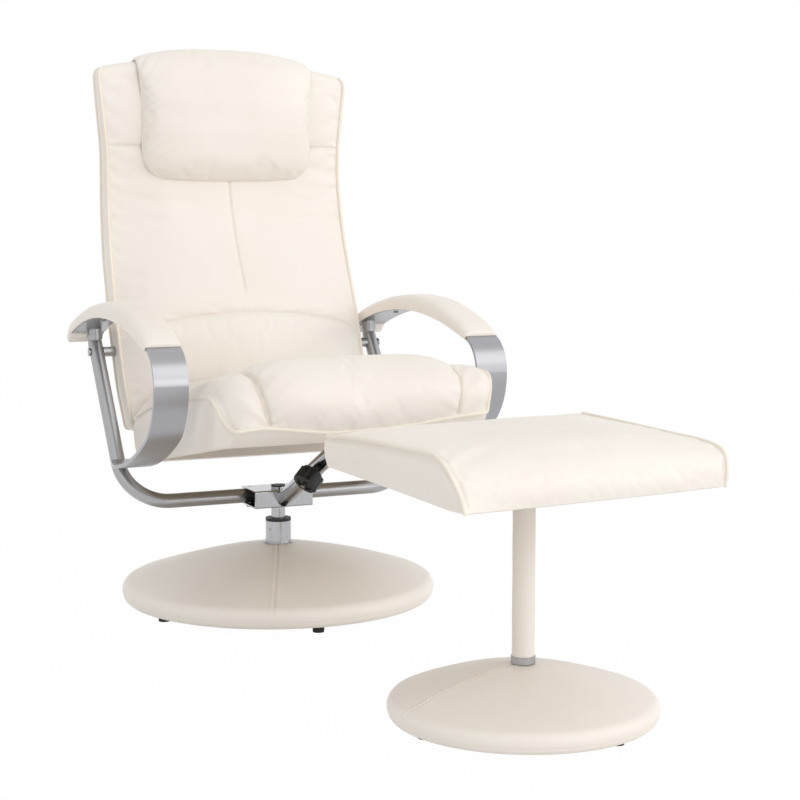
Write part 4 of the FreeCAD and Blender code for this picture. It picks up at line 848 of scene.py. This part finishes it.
# the profile spun round, its top sunk along the seam and puffed beside it, with two rows of stitches
def coveredBase(name, base):
    profile, dome = domeProfile(base)
    inside = profile[::-1] - (0.0, baseShape["skin"])
    inside[:, 1] = np.maximum(inside[:, 1], baseShape["low"] + baseShape["skin"])
    inside[:, 0] = np.minimum(inside[:, 0], base["radius"] - baseShape["skin"])
    seamTurn = math.radians(base["seam"])
    whole = 2 * math.pi
    fromSeam = crowded(0.0, whole, baseShape["turns"] + 1, (0.0, whole), *baseShape["close"])[:-1]
    turns = fromSeam + seamTurn
    aside = profile[:, :1] * np.sin(fromSeam)
    toward = np.cos(fromSeam) > 0
    onTop = ease((profile[:, 1:] - baseShape["low"] - base["rim"] * 0.6) / 12.0)
    seam = baseShape["seamDeep"] * groove(aside, baseShape["seamWide"])
    seam = seam - baseShape["puff"] * groove(np.abs(aside) - baseShape["puffAt"], baseShape["puffWide"])
    waves = slowWaves(profile[:, :1] * np.cos(turns), profile[:, :1] * np.sin(turns), *baseShape["waves"])
    height = profile[:, 1:] + (waves - np.where(toward, seam, 0.0)) * onTop
    outer = spun(profile[:, 0], height, turns)
    skin = np.concatenate([outer, spun(inside[:, 0], inside[:, 1:], turns), outer[:1]])
    skin = skin + (base["x"], base["y"], 0.0)
    piece = makePiece(name + "BaseCover", [(skin, True)], base["body"], coverCloth, 60.0)
    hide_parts(base["node"])

    length = np.linspace(0.0, baseShape["stitch"] * baseShape["stitchShare"], 4)
    arch = baseShape["stitchUp"] + baseShape["stitchArch"] * np.sin(math.pi * length / length[-1])
    thread = baseShape["thread"] * np.array(baseShape["threadEnds"])
    lastStart = base["radius"] - base["rim"] * 0.8
    grids = []
    for off in (-baseShape["stitchApart"] / 2, baseShape["stitchApart"] / 2):
        for start in np.arange(base["hole"] + baseShape["stitchFrom"], lastStart, baseShape["stitch"]):
            r = start + length
            path = np.stack([base["x"] + r * math.cos(seamTurn) - off * math.sin(seamTurn),
                             base["y"] + r * math.sin(seamTurn) + off * math.cos(seamTurn),
                             np.interp(r, dome[:, 0], dome[:, 1]) + arch], -1)
            grids.append((tubeGrid(path, thread, 6, (0.0, 0.0, 1.0)), True))
    caps = [grid[0][k] for grid in grids for k in (0, -1)]
    makePiece(name + "BaseStitches", grids, base["body"], seamThread, 80.0, caps=caps, weld=0.001)


for name, base in bases.items():
    coveredBase(name, base)
print("bases made")


# Footstool: a pad whose top panel rolls over the front, with flat side panels and piping between them.
# The profiles are (y, z) in the stool's own frame.
stool = {"turn": 7.0, "halfWide": 215.0, "halfDeep": 166.0, "length": 440.0, "square": 3.2, "sidePull": 0.012,
         "frontPull": 0.042, "frontFrom": 0.8, "lowRear": 352.0, "lowFront": 336.0, "lowPull": 0.985,
         "lowY": (-165.0, 164.0), "cornerPower": 6, "tall": 40.0,
         "boardX": 195.0, "boardY": 146.0, "boardTop": 373.6, "rows": 150, "cols": 140, "close": (0.06, 3.0),
         "facing": (0.0, -0.3, 1.0), "stuff": (2.4, 0.003, 2.4), "edgeDip": (2.0, 2.8), "edgeDipAt": 5.0,
         "ripples": (0.9, 40.0, -0.5, 1.0, 30.0), "rippleReach": 20.0,
         "waves": (0.8, (230.0, 150.0, 105.0), 31),
         "band": {"rows": 10, "closeAt": 0.08, "close": (0.09, 4.0), "swell": 3.0, "dip": (3.4, 0.1, 0.06),
                  "rimDown": 1.0, "rimIn": 3.0},
         "piping": 2.6, "pipingOut": 0.8, "pipingUp": 0.4, "pipingRows": 200,
         "rightSide": [(165, 394), (120, 398), (60, 401), (0, 402), (-81, 403), (-121, 400), (-140, 389),
                       (-155, 370), (-165, 352), (-170, 337)],
         "leftSide": [(165, 399), (120, 398), (60, 396.5), (0, 394.5), (-60, 392.5), (-105, 391), (-138, 387),
                      (-160, 378), (-169, 358), (-168, 337)],
         "middle": [(167, 398), (120, 404), (60, 408), (0, 409), (-70, 409), (-122, 404), (-152, 391),
                    (-167, 371), (-172, 352), (-169, 336)]}


def placeStool(points):  # from the stool's own frame to the set's: turned about its column
    turn = math.radians(stool["turn"])
    x, y = points[..., 0], points[..., 1]
    return np.stack([stoolX + x * math.cos(turn) - y * math.sin(turn),
                     stoolY + x * math.sin(turn) + y * math.cos(turn), points[..., 2]], -1)


# the panel's fullness falls as a power of the distance from the middle; the band closes it
def stoolPad():
    v = np.linspace(0.0, 1.0, stool["rows"])
    u = crowded(-1.0, 1.0, stool["cols"], (-1.0, 1.0), *stool["close"])
    pull = 1.0 - stool["sidePull"] * np.sin(math.pi * v)
    pull = pull - stool["frontPull"] * ease((v - stool["frontFrom"]) / (1.0 - stool["frontFrom"]))
    panel = layPanel(stool, u, 1.0 - np.abs(u)**stool["square"], stool["halfWide"] * pull)
    x = panel[..., 0]
    aGrid, vGrid = np.broadcast_to(np.abs(u)[None, :], x.shape), np.broadcast_to(v[:, None], x.shape)
    held = (aGrid > 0.99) | (vGrid < 0.012) | (vGrid > 0.99)  # sewn edges
    panel = stuffGrid(panel, held, stool["facing"], *stool["stuff"])
    edge = (1.0 - aGrid) * stool["halfWide"]
    run = vGrid * stool["length"]
    sunk = ripples(run, edge, *stool["ripples"]) * np.exp(-edge / stool["rippleReach"]) * ease(edge / 5.0)
    sunk = sunk + stool["edgeDip"][0] * groove(edge - stool["edgeDipAt"], stool["edgeDip"][1])
    sunk = sunk + slowWaves(x, run * 0.9, *stool["waves"])
    fade = ease(edge / 3.0) * ease((1.0 - vGrid) / 0.03) * ease(vGrid / 0.03)
    panel = sinkIn(panel, stool["facing"], sunk * fade)

    ring = panelRing(panel)
    low = ring.copy()
    low[:, 0] *= stool["lowPull"]
    low[:, 1] = np.clip(ring[:, 1], *stool["lowY"])
    share = (stool["halfDeep"] - low[:, 1]) / (2 * stool["halfDeep"])
    hem = stool["lowRear"] + (stool["lowFront"] - stool["lowRear"]) * share
    low[:, 2] = np.minimum(hem, ring[:, 2] - 1.5)
    away = ring * (1.0 / stool["halfWide"], 1.0 / stool["halfDeep"], 0.0)
    away = np.sign(away) * np.abs(away)**stool["cornerPower"]
    away /= np.maximum(np.linalg.norm(away, axis=1, keepdims=True), 1e-6)
    tall = np.clip((ring[:, 2] - low[:, 2]) / stool["tall"], 0.0, 1.0)[:, None]
    inner = low.copy()  # the recess that takes the board
    inner[:, 0] = np.clip(low[:, 0], -stool["boardX"], stool["boardX"])
    inner[:, 1] = np.clip(low[:, 1], -stool["boardY"], stool["boardY"])
    top = inner.copy()
    top[:, 2] = stool["boardTop"]
    wall = np.array(boxingBand(ring, low, away, stool["band"], tall) + [inner, top])
    blocks = [(placeStool(panel), False), (placeStool(wall), True)]
    piece = makePiece("stoolPad", blocks, "footstool", coverCloth, 50.0, caps=(placeStool(top),))
    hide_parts("stool_cushion")
    for column, side, name in ((0, -1, "right"), (-1, 1, "left")):
        line = panel[:, column] + (side * stool["pipingOut"], 0.0, stool["pipingUp"])
        ear = line[-1] + np.array([(0.0, -0.5, -1.4), (-side * 0.6, -1.2, -3.0)])  # its end turns under
        path = chordLine(np.concatenate([line[1:-3:4], line[-1:], ear]), stool["pipingRows"])
        makePiping("stoolPiping_" + name, placeStool(path), "footstool", pipingCloth, stool["piping"])


stoolPad()
print("footstool made")


# Footstool column: a leatherette sleeve with a seam down its rear.
sleeve = {"turns": 72, "rows": 40, "wall": 1.3, "seamTurn": 1.4, "seamDeep": 0.9, "seamWide": 1.6, "most": 0.2,
          "waves": (0.25, (90.0, 60.0, 41.0), 41)}


def columnSleeve():  # a tube about the CAD sleeve's axis, its radius changed by slow waves and the seam
    low, high = (np.array(corner) * 1000.0 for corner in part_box("stool_column_sleeve"))
    middle = (low + high) / 2
    radius = (high[0] - low[0]) / 2
    turns = np.linspace(0.0, 2 * math.pi, sleeve["turns"], endpoint=False)
    z = np.linspace(low[2], high[2], sleeve["rows"])[:, None]
    r = radius + slowWaves(turns[None, :] * 15.0, z, *sleeve["waves"])
    r = r - sleeve["seamDeep"] * groove((turns[None, :] - sleeve["seamTurn"]) * radius, sleeve["seamWide"])
    r = np.minimum(r, radius + sleeve["most"])
    skin = np.stack([r * np.cos(turns), r * np.sin(turns), z + 0.0 * turns], -1)
    bore = spun(np.full(sleeve["rows"], radius - sleeve["wall"]), z, turns)
    grid = np.concatenate([skin, bore[::-1], skin[:1]]) + (middle[0], middle[1] - axisY, 0.0)
    piece = makePiece("columnSleeve", [(grid, True)], "footstool", coverCloth, 60.0)
    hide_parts("stool_column_sleeve")


columnSleeve()
print("column made")


# Studio: white floor and backdrop, soft light, camera of the photograph.
# Lamps are (place, target, size, power), in metres and watts.
studio = {"place": (-1082.1, -2960.7, 720.0), "azimuth": -24.0, "down": 6.5, "lens": 81.0, "sensor": 36.0,
          "world": 0.8, "floorWhite": 0.985, "floorHalf": 9.0,
          "lamps": {"keyLamp": ((2.6, -8.2, 1.3), (0.0, 0.0, 0.5), 2.4, 46.0),
                    "highLamp": ((3.5, -6.5, 6.0), (0.0, 0.0, 0.3), 6.5, 140.0),
                    "sideLamp": ((7.0, -4.0, 3.0), (0.0, 0.0, 0.3), 3.2, 85.0),
                    "fillLamp": ((-6.0, -5.5, 5.0), (0.0, 0.1, 0.45), 4.0, 40.0)}}


def softLamp(name, place, target, size, power):  # a square lamp that faces its target
    lamp = bpy.data.lights.new(name, "AREA")
    lamp.shape = "SQUARE"
    lamp.size = size
    lamp.energy = power
    item = bpy.data.objects.new(name, lamp)
    item.location = place
    item.rotation_euler = (Vector(target) - Vector(place)).to_track_quat("-Z", "Y").to_euler()
    bpy.context.scene.collection.objects.link(item)


def whiteSeen(tree):  # 1 where the camera, a mirror or glass looks at the background
    path = addNode(tree, "ShaderNodeLightPath")
    first = addNode(tree, "ShaderNodeMath", [(0, path, "Is Camera Ray"), (1, path, "Is Glossy Ray")],
                    operation="MAXIMUM")
    return addNode(tree, "ShaderNodeMath", [(0, first, 0), (1, path, "Is Transmission Ray")],
                   operation="MAXIMUM")


def makeStudio():  # world, floor, lamps, then the camera from its azimuth and tilt
    world = bpy.data.worlds.new("studio")
    bpy.context.scene.world = world
    world.use_nodes = True
    tree = world.node_tree
    backdrop = tree.nodes["Background"]
    strength = addNode(tree, "ShaderNodeMapRange", [("Value", whiteSeen(tree), 0)],
                       [("To Min", studio["world"]), ("To Max", 1.0)])
    tree.links.new(strength.outputs[0], backdrop.inputs["Strength"])
    backdrop.inputs["Color"].default_value = (1.0, 1.0, 1.0, 1.0)
    mesh = bpy.data.meshes.new("studioFloor")
    half = studio["floorHalf"]
    corners = [(-half, -half, 0), (half, -half, 0), (half, half, 0), (-half, half, 0)]
    mesh.from_pydata(corners, [], [(0, 1, 2, 3)])
    floor = bpy.data.objects.new("studioFloor", mesh)
    bpy.context.scene.collection.objects.link(floor)
    paint, tree, shader = newMaterial("whiteFloor", "#F2F2F2", 0.9)
    glow = addNode(tree, "ShaderNodeEmission", inputs=[("Strength", 1.0)])
    share = addNode(tree, "ShaderNodeMath", [(0, whiteSeen(tree), 0)], [(1, studio["floorWhite"])],
                    operation="MULTIPLY")
    mix = addNode(tree, "ShaderNodeMixShader", [(0, share, 0), (1, shader, 0), (2, glow, 0)])
    tree.links.new(mix.outputs[0], tree.nodes["Material Output"].inputs["Surface"])
    mesh.materials.append(paint)
    for name, lamp in studio["lamps"].items():
        softLamp(name, *lamp)
    turn, down = math.radians(studio["azimuth"]), math.radians(studio["down"])
    ahead = Vector((-math.sin(turn) * math.cos(down), math.cos(turn) * math.cos(down), -math.sin(down)))
    side = Vector((math.cos(turn), math.sin(turn), 0.0))
    up = side.cross(ahead)
    lens = bpy.data.cameras.new("photoCamera")
    lens.lens = studio["lens"]
    lens.sensor_width = studio["sensor"]
    lens.sensor_fit = "HORIZONTAL"
    camera = bpy.data.objects.new("photoCamera", lens)
    place = toRoom(studio["place"])
    camera.matrix_world = Matrix(((side.x, up.x, -ahead.x, place[0]), (side.y, up.y, -ahead.y, place[1]),
                                  (side.z, up.z, -ahead.z, place[2]), (0.0, 0.0, 0.0, 1.0)))
    bpy.context.scene.collection.objects.link(camera)
    bpy.context.scene.camera = camera
    bpy.context.scene.view_settings.view_transform = "Standard"


makeStudio()
print("studio made")
